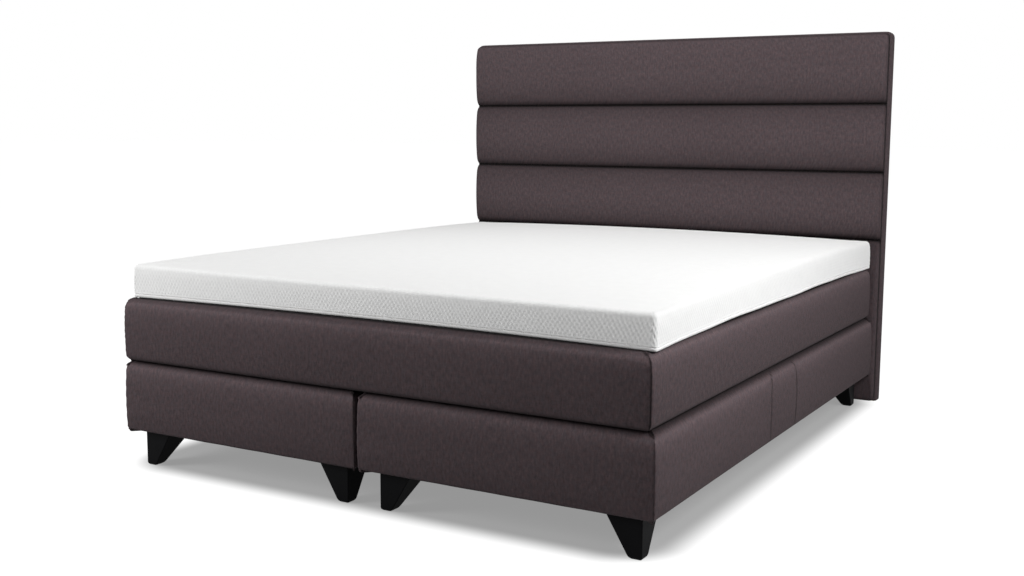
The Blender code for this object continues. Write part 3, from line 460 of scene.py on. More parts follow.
class Graph(NodeTree):
    """Short way to write a material's nodes."""

    def __init__(self, name):
        self.material = bpy.data.materials.new(name)
        self.material.use_nodes = True
        super().__init__(self.material.node_tree)
        self.shader = self.tree.nodes["Principled BSDF"]
        self.output = self.tree.nodes["Material Output"]

    def uv(self):
        """The piece's own cloth coordinates, in metres."""
        return self.out("ShaderNodeUVMap", uv_map="cloth")

    def place(self):
        """The piece's place in the frame, in metres."""
        return self.node("ShaderNodeTexCoord").outputs["Object"]

    def noted(self, name):
        """A value that is noted on the piece's points."""
        return self.node("ShaderNodeAttribute", attribute_name=name).outputs["Fac"]

    def mapped(self, vector, scale=(1, 1, 1), move=(0, 0, 0)):
        """Coordinates that are scaled and moved."""
        return self.out("ShaderNodeMapping", {"Vector": vector, "Scale": scale, "Location": move})

    def noise(self, vector, scale, detail=2.0, roughness=0.5, distortion=0.0):
        """Soft noise between 0 and 1."""
        links = {"Vector": vector, "Scale": scale, "Detail": detail, "Roughness": roughness}
        return self.node("ShaderNodeTexNoise", {**links, "Distortion": distortion}).outputs["Fac"]

    def grain(self, vector, scale, detail, roughness):
        """Noise that is stretched by a scale for each axis."""
        return self.noise(self.mapped(vector, scale), 1.0, detail, roughness)

    def shade(self, noise, dark, light):
        """A noise's usual range drawn out from a dark to a light tone."""
        return self.remap(noise, *NOISE_RANGE, dark, light)

    def mix(self, factor, first, second, blend="MIX"):
        """Two colours mixed by a factor."""
        links = {"Factor": factor, 6: first, 7: second}
        return self.node("ShaderNodeMix", links, data_type="RGBA", blend_type=blend).outputs[2]

    def tint(self, colour, tone):
        """A colour made lighter or darker by a grey tone."""
        shade = self.out("ShaderNodeCombineColor", {0: tone, 1: tone, 2: tone})
        return self.mix(1.0, colour, shade, "MULTIPLY")

    def bump(self, height, distance, strength):
        """Normals of a surface that is raised by a height."""
        links = {"Height": height, "Distance": distance, "Strength": strength}
        return self.out("ShaderNodeBump", links)

    def finish(self, **values):
        """Set or link the shader's own inputs, by name with underscores, and give the material."""
        for key, value in values.items():
            self.feed(self.shader.inputs[key.replace("_", " ")], value)
        return self.material


def woven_height(graph, uv, pitch):
    """Height of a plain weave: warp and weft threads that pass over and under each other."""
    split = graph.node("ShaderNodeSeparateXYZ", {"Vector": uv}).outputs
    across, along = (graph.math("SINE", graph.product(split[axis], 2 * math.pi / pitch)) for axis in (0, 1))
    crossing = graph.product(across, along)
    threads = graph.math("MAXIMUM", graph.math("ABSOLUTE", across), graph.math("ABSOLUTE", along))
    return graph.math("ADD", threads, graph.product(crossing, 0.35))


def upholstery_cloth():
    """Woven furniture cloth in dark mauve grey: upright slubs over a soft reddish and bluish melange, with
    painted shade and painted highlights read from its points.
    """
    graph = Graph("upholstery_cloth")
    uv = graph.uv()
    weave = woven_height(graph, uv, WEAVE_PITCH)
    slubs = graph.grain(uv, (150, 46, 1), 3.0, 0.65)
    streaks = graph.grain(uv, (330, 90, 1), 3.0, 0.62)
    threads = graph.grain(uv, (60, 300, 1), 2.0, 0.5)
    melange = graph.noise(uv, 75.0, 3.0, 0.65)
    broad = graph.noise(uv, 2.6, 2.0, 0.5)
    # Painted light noted on the points: painted shade darkens the cloth and painted highlight lightens it
    painted_light = graph.noted("painted_light")
    base = graph.mix(graph.remap(melange, 0.40, 0.60, 0.0, 1.0), CLOTH_COOL, CLOTH_WARM)
    tone = graph.product(
        graph.shade(slubs, 0.80, 1.20), graph.shade(broad, 0.97, 1.03),
        graph.remap(streaks, 0.25, 0.75, 0.86, 1.14), graph.remap(threads, 0.25, 0.75, 0.93, 1.07),
        graph.remap(weave, 0.0, 1.3, 0.88, 1.08), graph.remap(painted_light, 0.0, 1.0, 1.0, PAINTED_SHADE_TONE),
        graph.remap(painted_light, -1.0, 0.0, PAINTED_HIGHLIGHT_TONE, 1.0),
    )
    height = graph.blend(weave, 0.55, streaks, 0.45)
    return graph.finish(
        Base_Color=graph.tint(base, tone), Roughness=0.92, Sheen_Weight=0.03, Sheen_Roughness=0.45,
        Specular_IOR_Level=0.04, Normal=graph.bump(height, 0.0005, 0.6),
    )


def knit_cloth():
    """White double-jersey knit with a raised rib round each dimple, and painted shade in the dimples."""
    graph = Graph("topper_knit")
    uv = graph.uv()
    loops = woven_height(graph, uv, KNIT_PITCH)
    soft = graph.noise(uv, 30.0, 3.0, 0.55)
    fluff = graph.noise(uv, 500.0, 3.0, 0.6)
    tone = graph.product(
        graph.shade(soft, 0.975, 1.0), graph.shade(fluff, 0.955, 1.0),
        # Painted shade in the dimples
        graph.remap(graph.noted("dimple"), 0.0, 1.0, 1.0, DIMPLE_PAINTED_SHADE),
    )
    height = graph.blend(loops, 0.25, fluff, 0.35)
    return graph.finish(
        Base_Color=graph.tint(KNIT_WHITE, tone), Roughness=0.94, Sheen_Weight=0.08, Sheen_Roughness=0.5,
        Specular_IOR_Level=0.18, Normal=graph.bump(height, 0.0006, 0.6),
    )


def thread_finish(name, colour):
    """Twisted sewing thread."""
    graph = Graph(name)
    twist = graph.grain(graph.place(), (1500, 1500, 2600), 2.0, 0.5)
    return graph.finish(
        Base_Color=graph.tint(colour, graph.shade(twist, 0.8, 1.15)), Roughness=0.7,
        Specular_IOR_Level=0.3, Normal=graph.bump(twist, 0.0001, 0.5),
    )


def fleece_cloth(name, colour, pitch):
    """Spunbonded cloth: thin felted fibres pressed together at a grid of small dots."""
    graph = Graph(name)
    place = graph.place()
    dots = graph.node("ShaderNodeTexVoronoi", {"Vector": place, "Scale": 1 / pitch, "Randomness": 0.15})
    dot = graph.remap(dots.outputs["Distance"], 0.15, 0.35, 0.0, 1.0)
    fibres = graph.noise(place, 900.0, 4.0, 0.7, 1.5)
    tone = graph.product(graph.shade(fibres, 0.82, 1.12), graph.remap(dot, 0.0, 1.0, 0.86, 1.0))
    height = graph.blend(dot, 0.6, fibres, 0.4)
    return graph.finish(
        Base_Color=graph.tint(colour, tone), Roughness=0.95, Specular_IOR_Level=0.2,
        Normal=graph.bump(height, 0.0004, 0.5),
    )


def foam_cells():
    """Cream foam with fine open cells."""
    graph = Graph("foam_cells")
    place = graph.place()
    cells = graph.node("ShaderNodeTexVoronoi", {"Vector": place, "Scale": 420.0}).outputs["Distance"]
    cloud = graph.noise(place, 14.0, 3.0, 0.5)
    tone = graph.product(graph.remap(cells, 0.0, 0.6, 0.86, 1.03), graph.shade(cloud, 0.96, 1.03))
    return graph.finish(
        Base_Color=graph.tint(FOAM_CREAM, tone), Roughness=0.95, Specular_IOR_Level=0.2,
        Normal=graph.bump(cells, 0.0006, 0.6),
    )


def sawn_pine(name, along, light, dark):
    """Planed softwood whose grain runs along one axis: 0, 1 or 2."""
    graph = Graph(name)
    stretch, fine = [38.0] * 3, [620.0] * 3
    stretch[along], fine[along] = 2.2, 12.0
    place = graph.mapped(graph.place(), tuple(stretch))
    values = {"Vector": place, "Scale": 0.35, "Distortion": 3.4, "Detail": 2.0, "Detail Scale": 0.8}
    rings = graph.node(
        "ShaderNodeTexWave", values, wave_type="RINGS", rings_direction="XYZ"[along]).outputs["Fac"]
    fibre = graph.grain(graph.place(), tuple(fine), 2.0, 0.6)
    return graph.finish(
        Base_Color=graph.mix(graph.blend(rings, 0.55, fibre, 0.45), light, dark),
        Roughness=graph.shade(fibre, 0.5, 0.7), Normal=graph.bump(fibre, 0.0003, 0.5),
    )


def moulded_plastic():
    """Black plastic with the fine matt grain of a mould."""
    graph = Graph("moulded_plastic")
    place = graph.place()
    grain = graph.noise(place, 1600.0, 3.0, 0.6)
    cloud = graph.noise(place, 22.0, 2.0, 0.5)
    return graph.finish(
        Base_Color=graph.tint(PLASTIC_BLACK, graph.shade(cloud, 0.85, 1.15)),
        Roughness=graph.shade(grain, 0.50, 0.64), Specular_IOR_Level=0.04,
        Normal=graph.bump(grain, 0.00012, 0.5),
    )


def zinc_steel():
    """Zinc-plated steel with faint rolling marks."""
    graph = Graph("zinc_steel")
    place = graph.place()
    marks = graph.grain(place, (30, 900, 900), 3.0, 0.6)
    spangle = graph.noise(place, 70.0, 3.0, 0.6)
    tone = graph.product(graph.shade(marks, 0.92, 1.05), graph.shade(spangle, 0.9, 1.08))
    return graph.finish(
        Base_Color=graph.tint(STEEL_GREY, tone), Metallic=1.0, Roughness=graph.shade(marks, 0.3, 0.48),
        Normal=graph.bump(marks, 0.0001, 0.4),
    )


def place_camera():
    """Camera at the photograph's viewpoint."""
    data = bpy.data.cameras.new("view")
    data.sensor_width = CAMERA_SENSOR
    data.lens = CAMERA_LENS
    camera = bpy.data.objects.new("view", data)
    scene.collection.objects.link(camera)
    turn = Matrix.Rotation(CAMERA_HEADING, 4, "Z") @ Matrix.Rotation(math.pi / 2 - CAMERA_DIP, 4, "X")
    camera.matrix_world = Matrix.Translation(CAMERA_PLACE) @ turn @ Matrix.Rotation(CAMERA_LEAN, 4, "Z")
    scene.camera = camera


def background_ray(tree):
    """1 for rays that should see the backdrop: straight from the camera, reflected or through glass."""
    path = tree.node("ShaderNodeLightPath").outputs
    seen = tree.math("MAXIMUM", path["Is Camera Ray"], path["Is Glossy Ray"])
    return tree.math("MAXIMUM", seen, path["Is Transmission Ray"])


def lay_floor():
    """White floor with a painted shadow: seen from the camera it glows only a little in a soft rectangle
    round the bed's footprint, a flat grey over a weak real shadow, and turns to plain white further off.
    """
    corners = [(x * FLOOR_REACH, y * FLOOR_REACH, 0.0) for x, y in ((-1, -1), (1, -1), (1, 1), (-1, 1))]
    graph = Graph("studio_floor")
    graph.tree.nodes.remove(graph.shader)
    place = graph.mapped(graph.place(), move=tuple(-value for value in FLOOR_PAINTED_SHADOW_CENTRE))
    for operation, value in (("ABSOLUTE", ()), ("SUBTRACT", FLOOR_PAINTED_SHADOW_HALF), ("MAXIMUM", (0, 0, 0))):
        links = {0: place, 1: value} if value else {0: place}
        place = graph.out("ShaderNodeVectorMath", links, operation=operation)
    distance = graph.node("ShaderNodeVectorMath", {0: place}, operation="LENGTH").outputs["Value"]
    # Painted shadow: the glow stays low near the footprint and rises to plain white further off
    rise = graph.remap(
        distance, FLOOR_GLOW_START, FLOOR_GLOW_REACH, FLOOR_PAINTED_SHADOW_GLOW, 1.0, interpolation_type="SMOOTHSTEP")
    ray = background_ray(graph)
    diffuse = graph.out("ShaderNodeBsdfDiffuse", {"Color": graph.mix(ray, FLOOR_COLOUR, FLOOR_SEEN_COLOUR)})
    glow = graph.out("ShaderNodeEmission", {"Color": WHITE, "Strength": graph.product(ray, rise)})
    graph.link(graph.out("ShaderNodeAddShader", {0: diffuse, 1: glow}), graph.output.inputs["Surface"])
    new_object("studio_floor", mesh_from("studio_floor", corners, [(0, 1, 2, 3)]), graph.material)


def light_world():
    """Even white surroundings, seen as plain white behind the bed."""
    scene.world = bpy.data.worlds.new("studio")
    scene.world.use_nodes = True
    surroundings = NodeTree(scene.world.node_tree)
    inputs = surroundings.tree.nodes["Background"].inputs
    surroundings.feed(inputs["Color"], WHITE)
    level = surroundings.remap(background_ray(surroundings), 0.0, 1.0, WORLD_LEVEL, 1.0)
    surroundings.feed(inputs["Strength"], level)


def softbox(name, place, aim, width, depth, power):
    """One rectangular studio lamp, turned to face a point."""
    data = bpy.data.lights.new(name, "AREA")
    data.shape = "RECTANGLE"
    data.size, data.size_y, data.energy = width, depth, power
    lamp = bpy.data.objects.new(name, data)
    scene.collection.objects.link(lamp)
    lamp.location = place
    lamp.rotation_mode = "QUATERNION"
    lamp.rotation_quaternion = (Vector(aim) - lamp.location).to_track_quat("-Z", "Y")


def side_points(half_along, half_across, rounding, half_steps, steps):
    """Points along one side of a rounded rectangle, from the middle of one corner to the next."""
    left, right, level = rounding - half_along, half_along - rounding, rounding - half_across

    def turned(start, degrees, step):
        angle = math.radians(degrees + 45 * step / half_steps)
        return start + rounding * math.cos(angle), level + rounding * math.sin(angle)

    points = [turned(left, 225, step) for step in range(half_steps)]
    straight = 2 * half_along - 2 * rounding
    points += [(left + straight * step / steps, -half_across) for step in range(steps + 1)]
    return points + [turned(right, 270, step) for step in range(1, half_steps + 1)]


def ring(half, rounding, half_steps, steps):
    """Points round a rounded rectangle, counter-clockwise from its front left corner."""
    (half_x, half_y), (steps_x, steps_y) = half, steps
    front = side_points(half_x, half_y, rounding, half_steps, steps_x)
    right = side_points(half_y, half_x, rounding, half_steps, steps_y)
    points = [(x, y) for x, y in front[:-1]]
    points += [(-across, along) for along, across in right[:-1]]
    points += [(-x, -y) for x, y in front[:-1]]
    points += [(across, -along) for along, across in right[:-1]]
    return np.array(points)


def round_edge(radius, draw, z, way, steps):
    """Profile round an edge, from the flat face out: way is 1 for a top edge and -1 for a lower one."""
    points = []
    for step in range(steps + 1):
        angle = math.pi / 2 * (1 - step / steps)
        drop = radius - radius * math.sin(angle)
        points.append((draw + radius - radius * math.cos(angle), z - way * drop))
    return points


def cap_grid(border, count_x, count_y):
    """Grid of points that fills a ring, each blended from the four sides. Rows run from front to back."""
    front = border[: count_x + 1]
    right = border[count_x: count_x + count_y + 1]
    back = border[count_x + count_y: 2 * count_x + count_y + 1][::-1]
    left = np.vstack([border[2 * count_x + count_y:], border[:1]])[::-1]
    u = np.linspace(0, 1, count_x + 1)[None, :, None]
    v = np.linspace(0, 1, count_y + 1)[:, None, None]
    sides = (1 - v) * front[None] + v * back[None] + (1 - u) * left[:, None] + u * right[:, None]
    corners = (1 - u) * (1 - v) * front[0] + u * (1 - v) * front[-1]
    corners = corners + u * v * back[-1] + (1 - u) * v * back[0]
    return sides - corners


def spline(field, places, closed):
    """Values of a field at fractional places along its first axis, by cubic blending."""
    count = len(field)
    base = np.floor(places).astype(int)
    t = (places - base).reshape(-1, *[1] * (field.ndim - 1))
    four = [(base + step) % count if closed else np.clip(base + step, 0, count - 1) for step in (-1, 0, 1, 2)]
    a, b, c, d = (field[picked] for picked in four)
    return b + 0.5 * t * (c - a + t * (2 * a - 5 * b + 4 * c - d + t * (3 * (b - c) + d - a)))


def finer(field, rows, columns, closed):
    """A grid of values drawn out to rows by columns, smoothly."""
    count = field.shape[1]
    reach = count if closed else count - 1
    places = np.arange(columns) * reach / (columns if closed else columns - 1)
    tall = spline(field, np.linspace(0, len(field) - 1, rows), False)
    return spline(tall.swapaxes(0, 1), places, closed).swapaxes(0, 1)


def tier_rings(centre, half, corner, profile, steps, fine):
    """Rings of points down a profile, round a rounded rectangle."""
    rows = []
    for inset, z in profile:
        size = (half[0] - inset, half[1] - inset)
        rounding = max(corner - inset, LEAST_CORNER)
        flat = ring(size, rounding, CORNER_HALF_STEPS * fine, [step * fine for step in steps])
        rows.append(np.column_stack([flat + centre, np.full(len(flat), z)]))
    return np.array(rows)


def run_length(points, closed=False):
    """Distance along a line of points to each of them, and back to the first on a closed line."""
    steps = np.roll(points, -1, 0) - points if closed else np.diff(points, axis=0)
    return np.append(0, np.cumsum(np.linalg.norm(steps, axis=1)))


def tier_mesh(name, band, caps):
    """Mesh of a band of rings, closed above, and below too if there are two caps, with UVs in metres."""
    rows, number = band.shape[:2]
    points = [band.reshape(-1, 3)]
    around = run_length(band[rows // 2], closed=True)
    down = -run_length(band[:, number // 8])
    row, column = np.meshgrid(np.arange(rows - 1), np.arange(number), indexing="ij")
    following = (column + 1) % number
    corners = [(row, column), (row + 1, column), (row + 1, following), (row, following)]
    faces = np.stack([r * number + c for r, c in corners], axis=2).reshape(-1, 4).tolist()
    edge = [column, column, column + 1, column + 1]
    uvs = [np.stack([around[e], down[r]], axis=2) for e, (r, _) in zip(edge, corners)]
    uvs = np.stack(uvs, axis=2).reshape(-1, 2).tolist()
    total = rows * number
    for cap, grid in enumerate(caps):
        start = 0 if cap == 0 else (rows - 1) * number
        gap = number // (2 * (grid.shape[0] + grid.shape[1] - 2))
        numbers = total + np.arange(grid.shape[0] * grid.shape[1]).reshape(grid.shape[:2])
        points.append(grid.reshape(-1, 3))
        total += grid.shape[0] * grid.shape[1]
        picked = start + np.arange(0, number, gap)
        count_x, count_y = grid.shape[1] - 1, grid.shape[0] - 1
        numbers[0, :] = picked[: count_x + 1]
        numbers[:, -1] = picked[count_x: count_x + count_y + 1]
        numbers[-1, :] = picked[count_x + count_y: 2 * count_x + count_y + 1][::-1]
        numbers[:, 0] = np.append(picked[2 * count_x + count_y:], picked[0])[::-1]
        flat = np.vstack(points)[:, :2]
        for r in range(count_y):
            for c in range(count_x):
                cell = [numbers[r, c], numbers[r, c + 1], numbers[r + 1, c + 1], numbers[r + 1, c]]
                face = []
                for first, second in zip(cell, cell[1:] + cell[:1]):
                    face += ring_run(first, second, start, number, gap)
                face = face if cap == 0 else face[::-1]
                faces.append(face)
                uvs += flat[face].tolist()
    return loose_free(mesh_from(name, np.vstack(points), faces, uvs))


def ring_run(first, second, start, number, gap):
    """The first of two points, with any of the ring's points that lie between them."""
    a, b = first - start, second - start
    if gap > 1 and 0 <= a < number and 0 <= b < number:
        if (b - a) % number == gap:
            return [start + (a + step) % number for step in range(gap)]
        if (a - b) % number == gap:
            return [start + (a - step) % number for step in range(gap)]
    return [first]


def loose_free(mesh):
    """Delete the points of a mesh that no face uses."""
    work = bmesh.new()
    work.from_mesh(mesh)
    bmesh.ops.delete(work, geom=[point for point in work.verts if not point.link_faces], context="VERTS")
    work.to_mesh(mesh)
    work.free()
    return mesh


def swell(mesh, held, limit):
    """How far each point moves when a mesh is filled with air as cloth, up to about the limit."""
    rest = read_points(mesh)
    piece = new_object("swelling", mesh)
    group = piece.vertex_groups.new(name="held")
    for index in np.flatnonzero(held):
        group.add([int(index)], 1.0, "REPLACE")
    cloth = piece.modifiers.new("swell", "CLOTH")
    settings = cloth.settings
    settings.quality = CLOTH_QUALITY
    settings.mass = CLOTH_MASS
    settings.tension_stiffness = settings.compression_stiffness = CLOTH_STIFFNESS
    settings.shear_stiffness = CLOTH_SHEAR
    settings.bending_stiffness = CLOTH_BENDING
    settings.vertex_group_mass = "held"
    settings.use_pressure = True
    settings.uniform_pressure_force = SWELL_PRESSURE
    settings.effector_weights.gravity = 0
    cloth.collision_settings.use_collision = False
    cloth.point_cache.frame_start = 1
    cloth.point_cache.frame_end = SWELL_FRAMES
    for step in range(1, SWELL_FRAMES + 1):
        scene.frame_set(step)
    evaluated = piece.evaluated_get(bpy.context.evaluated_depsgraph_get())
    moved = read_points(evaluated.data) - rest
    piece.modifiers.remove(cloth)
    scene.frame_set(1)
    bpy.data.objects.remove(piece)
    reach = np.linalg.norm(moved, axis=1, keepdims=True)
    return moved * limit / (limit + reach)


def crown_sides(band, counts, depth):
    """Draw each side's upper and lower edge in between its corners, so that the side is crowned."""
    heights = band[..., 2]
    share = (heights - heights.min()) / (heights.max() - heights.min())
    start = 0
    for side, count in enumerate((*counts, *counts)):
        along = np.linspace(0, 1, count + 1)[:-1]
        draw = depth * (4 * along * (1 - along)) ** 0.5 * (2 * share[:, start: start + count] - 1) ** 2
        band[:, start: start + count, (side + 1) % 2] += draw * (1, -1, -1, 1)[side]
        start += count


def swell_tier(name, centre, half, corner, profile_of, spacing, fine, hold_below, limit, ends, crown):
    """A tier's fine rings and caps, after its cloth is swelled at a coarse spacing."""
    steps = [max(2, round(2 * (side - corner) / spacing)) for side in half]
    counts = [step + 2 * CORNER_HALF_STEPS for step in steps]
    coarse = tier_rings(centre, half, corner, profile_of(1), steps, 1)
    grids = [cap_grid(coarse[end], *counts) for end in ends]
    mesh = tier_mesh(name, coarse, grids)
    moved = swell(mesh, read_points(mesh)[:, 2] < hold_below + HOLD_MARGIN, limit)
    bpy.data.meshes.remove(mesh)
    rows, number = coarse.shape[:2]
    used = rows * number
    rings = moved[:used].reshape(rows, number, 3)
    band = tier_rings(centre, half, corner, profile_of(fine), steps, fine)
    crown_sides(band, [count * fine for count in counts], crown)
    band += finer(rings, band.shape[0], band.shape[1], True)
    caps, skip = [], fine // 2
    for end in ends:
        shift = -cap_grid(rings[end], *counts)
        inner = shift[1:-1, 1:-1]
        inner += moved[used: used + inner[..., 0].size].reshape(inner.shape)
        used += inner[..., 0].size
        border = band[end][::skip]
        cap = cap_grid(border, *(count * fine // skip for count in counts))
        shift[0], shift[-1], shift[:, 0], shift[:, -1] = 0, 0, 0, 0
        caps.append(cap + finer(shift, cap.shape[0], cap.shape[1], False))
    return band, caps, [count * fine for count in counts]


def outward(band):
    """Directions that point straight out of a band of rings."""
    around = np.roll(band, -1, 1) - np.roll(band, 1, 1)
    normal = np.cross(np.gradient(band, axis=0), around)
    return normal / np.maximum(np.linalg.norm(normal, axis=2, keepdims=True), 1e-9)


def corner_columns(counts):
    """Columns of a ring's points that run down the middle of its four corners."""
    return 0, counts[0], counts[0] + counts[1], 2 * counts[0] + counts[1]


def seam_painted_shade(points, band, counts, centre, half, corner_round):
    """Painted shade along the upright seams, by the distance to the plane through a corner's turn and its
    seam.
    """
    shares = np.zeros(len(points))
    for column in corner_columns(counts):
        line = band[:, column, :2].mean(axis=0)
        turn = centre + np.sign(line - centre) * (np.array(half) - corner_round)
        way = (line - turn) / np.linalg.norm(line - turn)
        offset = points[:, :2] - turn
        across = np.abs(offset[:, 0] * way[1] - offset[:, 1] * way[0])
        share = np.where(offset @ way > 0, SEAM_SHADE_SHARE * (1 - across / SEAM_SHADE_REACH), 0)
        shares = np.maximum(shares, share)
    return shares


def sew_corners(band, counts):
    """Draw cloth in along each corner's upright seam, with a welt and small puckers. Gives the seams."""
    out = outward(band)
    number = band.shape[1]
    seams = []
    flat = band.copy()
    for order, corner in enumerate(corner_columns(counts)):
        for step in range(-PUCKER_COLUMNS, PUCKER_COLUMNS + 1):
            column = (corner + step) % number
            distance = np.linalg.norm(flat[:, column] - flat[:, corner], axis=1)
            turns = 2 * math.pi * flat[:, column, 2] / PUCKER_PITCH
            fold = np.cos(turns + PUCKER_SHIFT * order + PUCKER_DRIFT * step)
            depth = PUCKER_DEPTH * np.exp(-distance / PUCKER_REACH) * (1 - fold) / 2
            band[:, column] -= depth[:, None] * out[:, column]
        band[:, corner] -= SEAM_DEPTH * out[:, corner]
        band[:, (corner - 1) % number] += WELT_HEIGHT * out[:, (corner - 1) % number]
        column = (corner - THREAD_COLUMNS) % number
        thread = band[:, column] + THREAD_RADIUS * THREAD_RISE * out[:, column]
        seams.append(thread[THREAD_TRIM: -THREAD_TRIM])
    return seams


def side_profile(bulge, high_z, low_z, edges, steps, rows):
    """Profile of a soft side: its rounded top edge, a slight bulge and its rounded lower edge."""
    profile = round_edge(edges[0], bulge, high_z, 1, steps[0])
    side_top, side_low = profile[-1][1], low_z + edges[1]
    for row in range(1, rows):
        share = row / rows
        profile.append((bulge * (2 * share - 1) ** 2, side_top + (side_low - side_top) * share))
    return profile + round_edge(edges[1], bulge, low_z, -1, steps[1])[::-1]


def sink(points, share):
    """Let the bed's corners sink a little, by each point's share."""
    centre, half, _, _ = node_block("mattress_cover")
    x = np.clip((points[..., 0] - centre[0]) / half[0], -1, 1)
    y = np.clip((points[..., 1] - centre[1]) / half[1], -1, 1)
    worn = np.where(x > 0, np.where(y > 0, WORN_HEAD, WORN_FOOT), WORN_LEFT)
    points[..., 2] -= CORNER_DROOP * worn * x ** 2 * y ** 4 * share


def sink_mattress(*parts):
    """Sink the corners of the mattress's parts, the more the higher they lie."""
    low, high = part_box("mattress_cover")
    for points in parts:
        sink(points, np.clip((points[..., 2] - low[2]) / (high[2] - low[2]), 0, 1))


def upholster(node, name, body, cloth, move, grow, edges, corner, pressed):
    """A tier's sewn cover: swelled sides and top, corner seams, turned under into a hem. Gives the seams."""
    centre, half, low_z, high_z = node_block(node)
    centre, half = centre + move, (half[0] + grow[0], half[1] + grow[1])

    def profile(fine):
        side = side_profile(SIDE_SWELL, high_z, low_z, edges, (3 * fine, 2 * fine), SIDE_ROWS * fine)
        turned = edges[1] + SIDE_SWELL
        return side + [(turned + (HEM_WIDTH - turned) * step / fine, low_z) for step in range(1, fine + 1)]

    band, caps, counts = swell_tier(
        name, centre, half, corner, profile, SWELL_SPACING, TIER_FINENESS, low_z + edges[1], TIER_SWELL,
        [0], SIDE_CROWN)
    caps[0][..., 2] = np.minimum(caps[0][..., 2], high_z)
    seams = sew_corners(band, counts)
    if body == "mattress":
        sink_mattress(band, *caps, *seams)
    piece = new_object(name, tier_mesh(name, band, caps), cloth)
    points = read_points(piece.data)
    # Painted light noted on the cover: painted shade along its corner seams and where another part lies on
    # it, then the sides' painted highlight and shade
    seam = seam_painted_shade(points, band, counts, centre, half, corner)
    painted_shades = np.maximum(pressed(points, centre, half, low_z, high_z), seam)
    mark_painted_light(piece.data, side_painted_light(points[:, 2], low_z, high_z, painted_shades))
    thicken(piece, WRAP_THICKNESS)
    finish_piece(piece, body, "upholstery", node)
    return seams


def box_painted_shade(points, centre, half, _, high_z):
    """Painted shade on a box's cloth, where the mattress lies on its edge."""
    return ((points[:, 2] - high_z) / PAINTED_SHADE_REACH + 1) * covered_edge(points, centre, half)


def mattress_painted_shade(points, _centre, _half, low_z, high_z):
    """Painted shade on the mattress's cloth: along its lower edge, and along the line where the topper lies
    on it.
    """
    centre, half, _, _ = node_block("topper_base_cover")
    out_x = np.maximum(np.abs(points[:, 0] - centre[0]) - half[0] - TOPPER_PROUD, 0)
    out_y = np.maximum(np.abs(points[:, 1] - centre[1]) - half[1], 0) * CONTACT_STRETCH
    away = np.sqrt(out_x ** 2 + out_y ** 2 + (points[:, 2] - high_z) ** 2)
    under = 1 - (points[:, 2] - low_z) / PAINTED_SHADE_REACH
    over = (CONTACT_FADE - away) / (CONTACT_FADE - CONTACT_REACH) * covered_edge(points, centre, half)
    return np.maximum(under, over)


def upholster_box(label, cloth):
    """Cloth over thin padding round one box."""
    node = f"{label}_box_cover"
    move = (np.sign(node_block(node)[0][0]) * BOX_PROUD / 2, -BOX_BULGE / 2)
    return upholster(
        node, f"{label}_box_upholstery", "base", cloth, move, (BOX_BULGE + BOX_PROUD / 2, BOX_BULGE / 2),
        (BOX_TOP_ROUND, BOX_BASE_ROUND), BOX_CORNER_ROUND, box_painted_shade)


def upholster_mattress(cloth):
    """Mattress cover: soft rounded edges above and below, corners that sink a little."""
    return upholster(
        "mattress_cover", "mattress_upholstery", "mattress", cloth, (0, -MATTRESS_PROUD / 2),
        (MATTRESS_PROUD, MATTRESS_PROUD / 2), (MATTRESS_TOP_ROUND, MATTRESS_BASE_ROUND),
        MATTRESS_CORNER_ROUND, mattress_painted_shade)


def shape_topper(low_z, centre, half, *parts):
    """Crown the topper's parts across the bed and towards the headboard, and let them follow the mattress."""
    for points in parts:
        x = np.clip((points[..., 0] - centre[0]) / half[0], -1, 1)
        y = np.clip((points[..., 1] - centre[1]) / half[1], -1, 1)
        ramp = np.clip((y + 1) / TOPPER_RAMP, 0, 1)
        ramp = ramp * ramp * (3 - 2 * ramp)
        foot = TOPPER_FOOT[0] + TOPPER_FOOT[1] * x + TOPPER_FOOT[2] * x ** 2
        head = TOPPER_HEAD[0] + TOPPER_HEAD[1] * x ** 2
        share = np.clip((points[..., 2] - low_z) / TOPPER_EDGE_HEIGHT, 0, 1)
        points[..., 2] += share * (foot * (1 - ramp) + head * ramp)
        rim = np.clip((np.abs(points[..., 0] - centre[0]) - half[0] + RIM_WIDTH) / RIM_WIDTH, 0, 1)
        wave = 1
        for height, turns, start in RIM_WAVES:
            wave = wave + height * np.sin(points[..., 1] * turns + start)
        points[..., 2] -= RIM_DROOP * wave * rim ** 2 * (3 - 2 * rim) * (1 - RIM_RELIEF * share)
        sink(points, 1.0)


def emboss(band, low_z, high_z):
    """Press the knit's staggered dimples into the topper's side, softer on top. Gives their depth shares."""
    out = outward(band)
    around = run_length(band[band.shape[0] // 2], closed=True)
    turns = round(around[-1] / DIMPLE_WIDTH) * around[:-1] / around[-1]
    lean = DIMPLE_SLANT * np.sin(2 * math.pi * around[:-1] / DIMPLE_WAVE)
    height = (band[..., 2] - low_z) / DIMPLE_HEIGHT
    across = np.cos(2 * math.pi * (turns[None, :] + lean[None, :] * height))
    dimple = ((1 - across * np.cos(math.pi * height)) / 2) ** DIMPLE_SHARPNESS
    below_top = np.clip((high_z - band[..., 2]) / (high_z - low_z) * DIMPLE_TOP_RISE, DIMPLE_TOP_SHARE, 1)
    dimple *= below_top * np.clip((band[..., 2] - low_z - DIMPLE_LOW_GAP) / DIMPLE_LOW_RISE, 0, 1)
    band -= DIMPLE_DEPTH * dimple[..., None] * out
    return dimple


def plain_tier(centre, half, corner, profile, steps, skip=1):
    """Rings down a profile and the two caps that close them, not swelled."""
    band = tier_rings(centre, half, corner, profile, steps, 1)
    counts = [(step + 2 * CORNER_HALF_STEPS) // skip for step in steps]
    return band, [cap_grid(band[end][::skip], *counts) for end in (0, -1)]


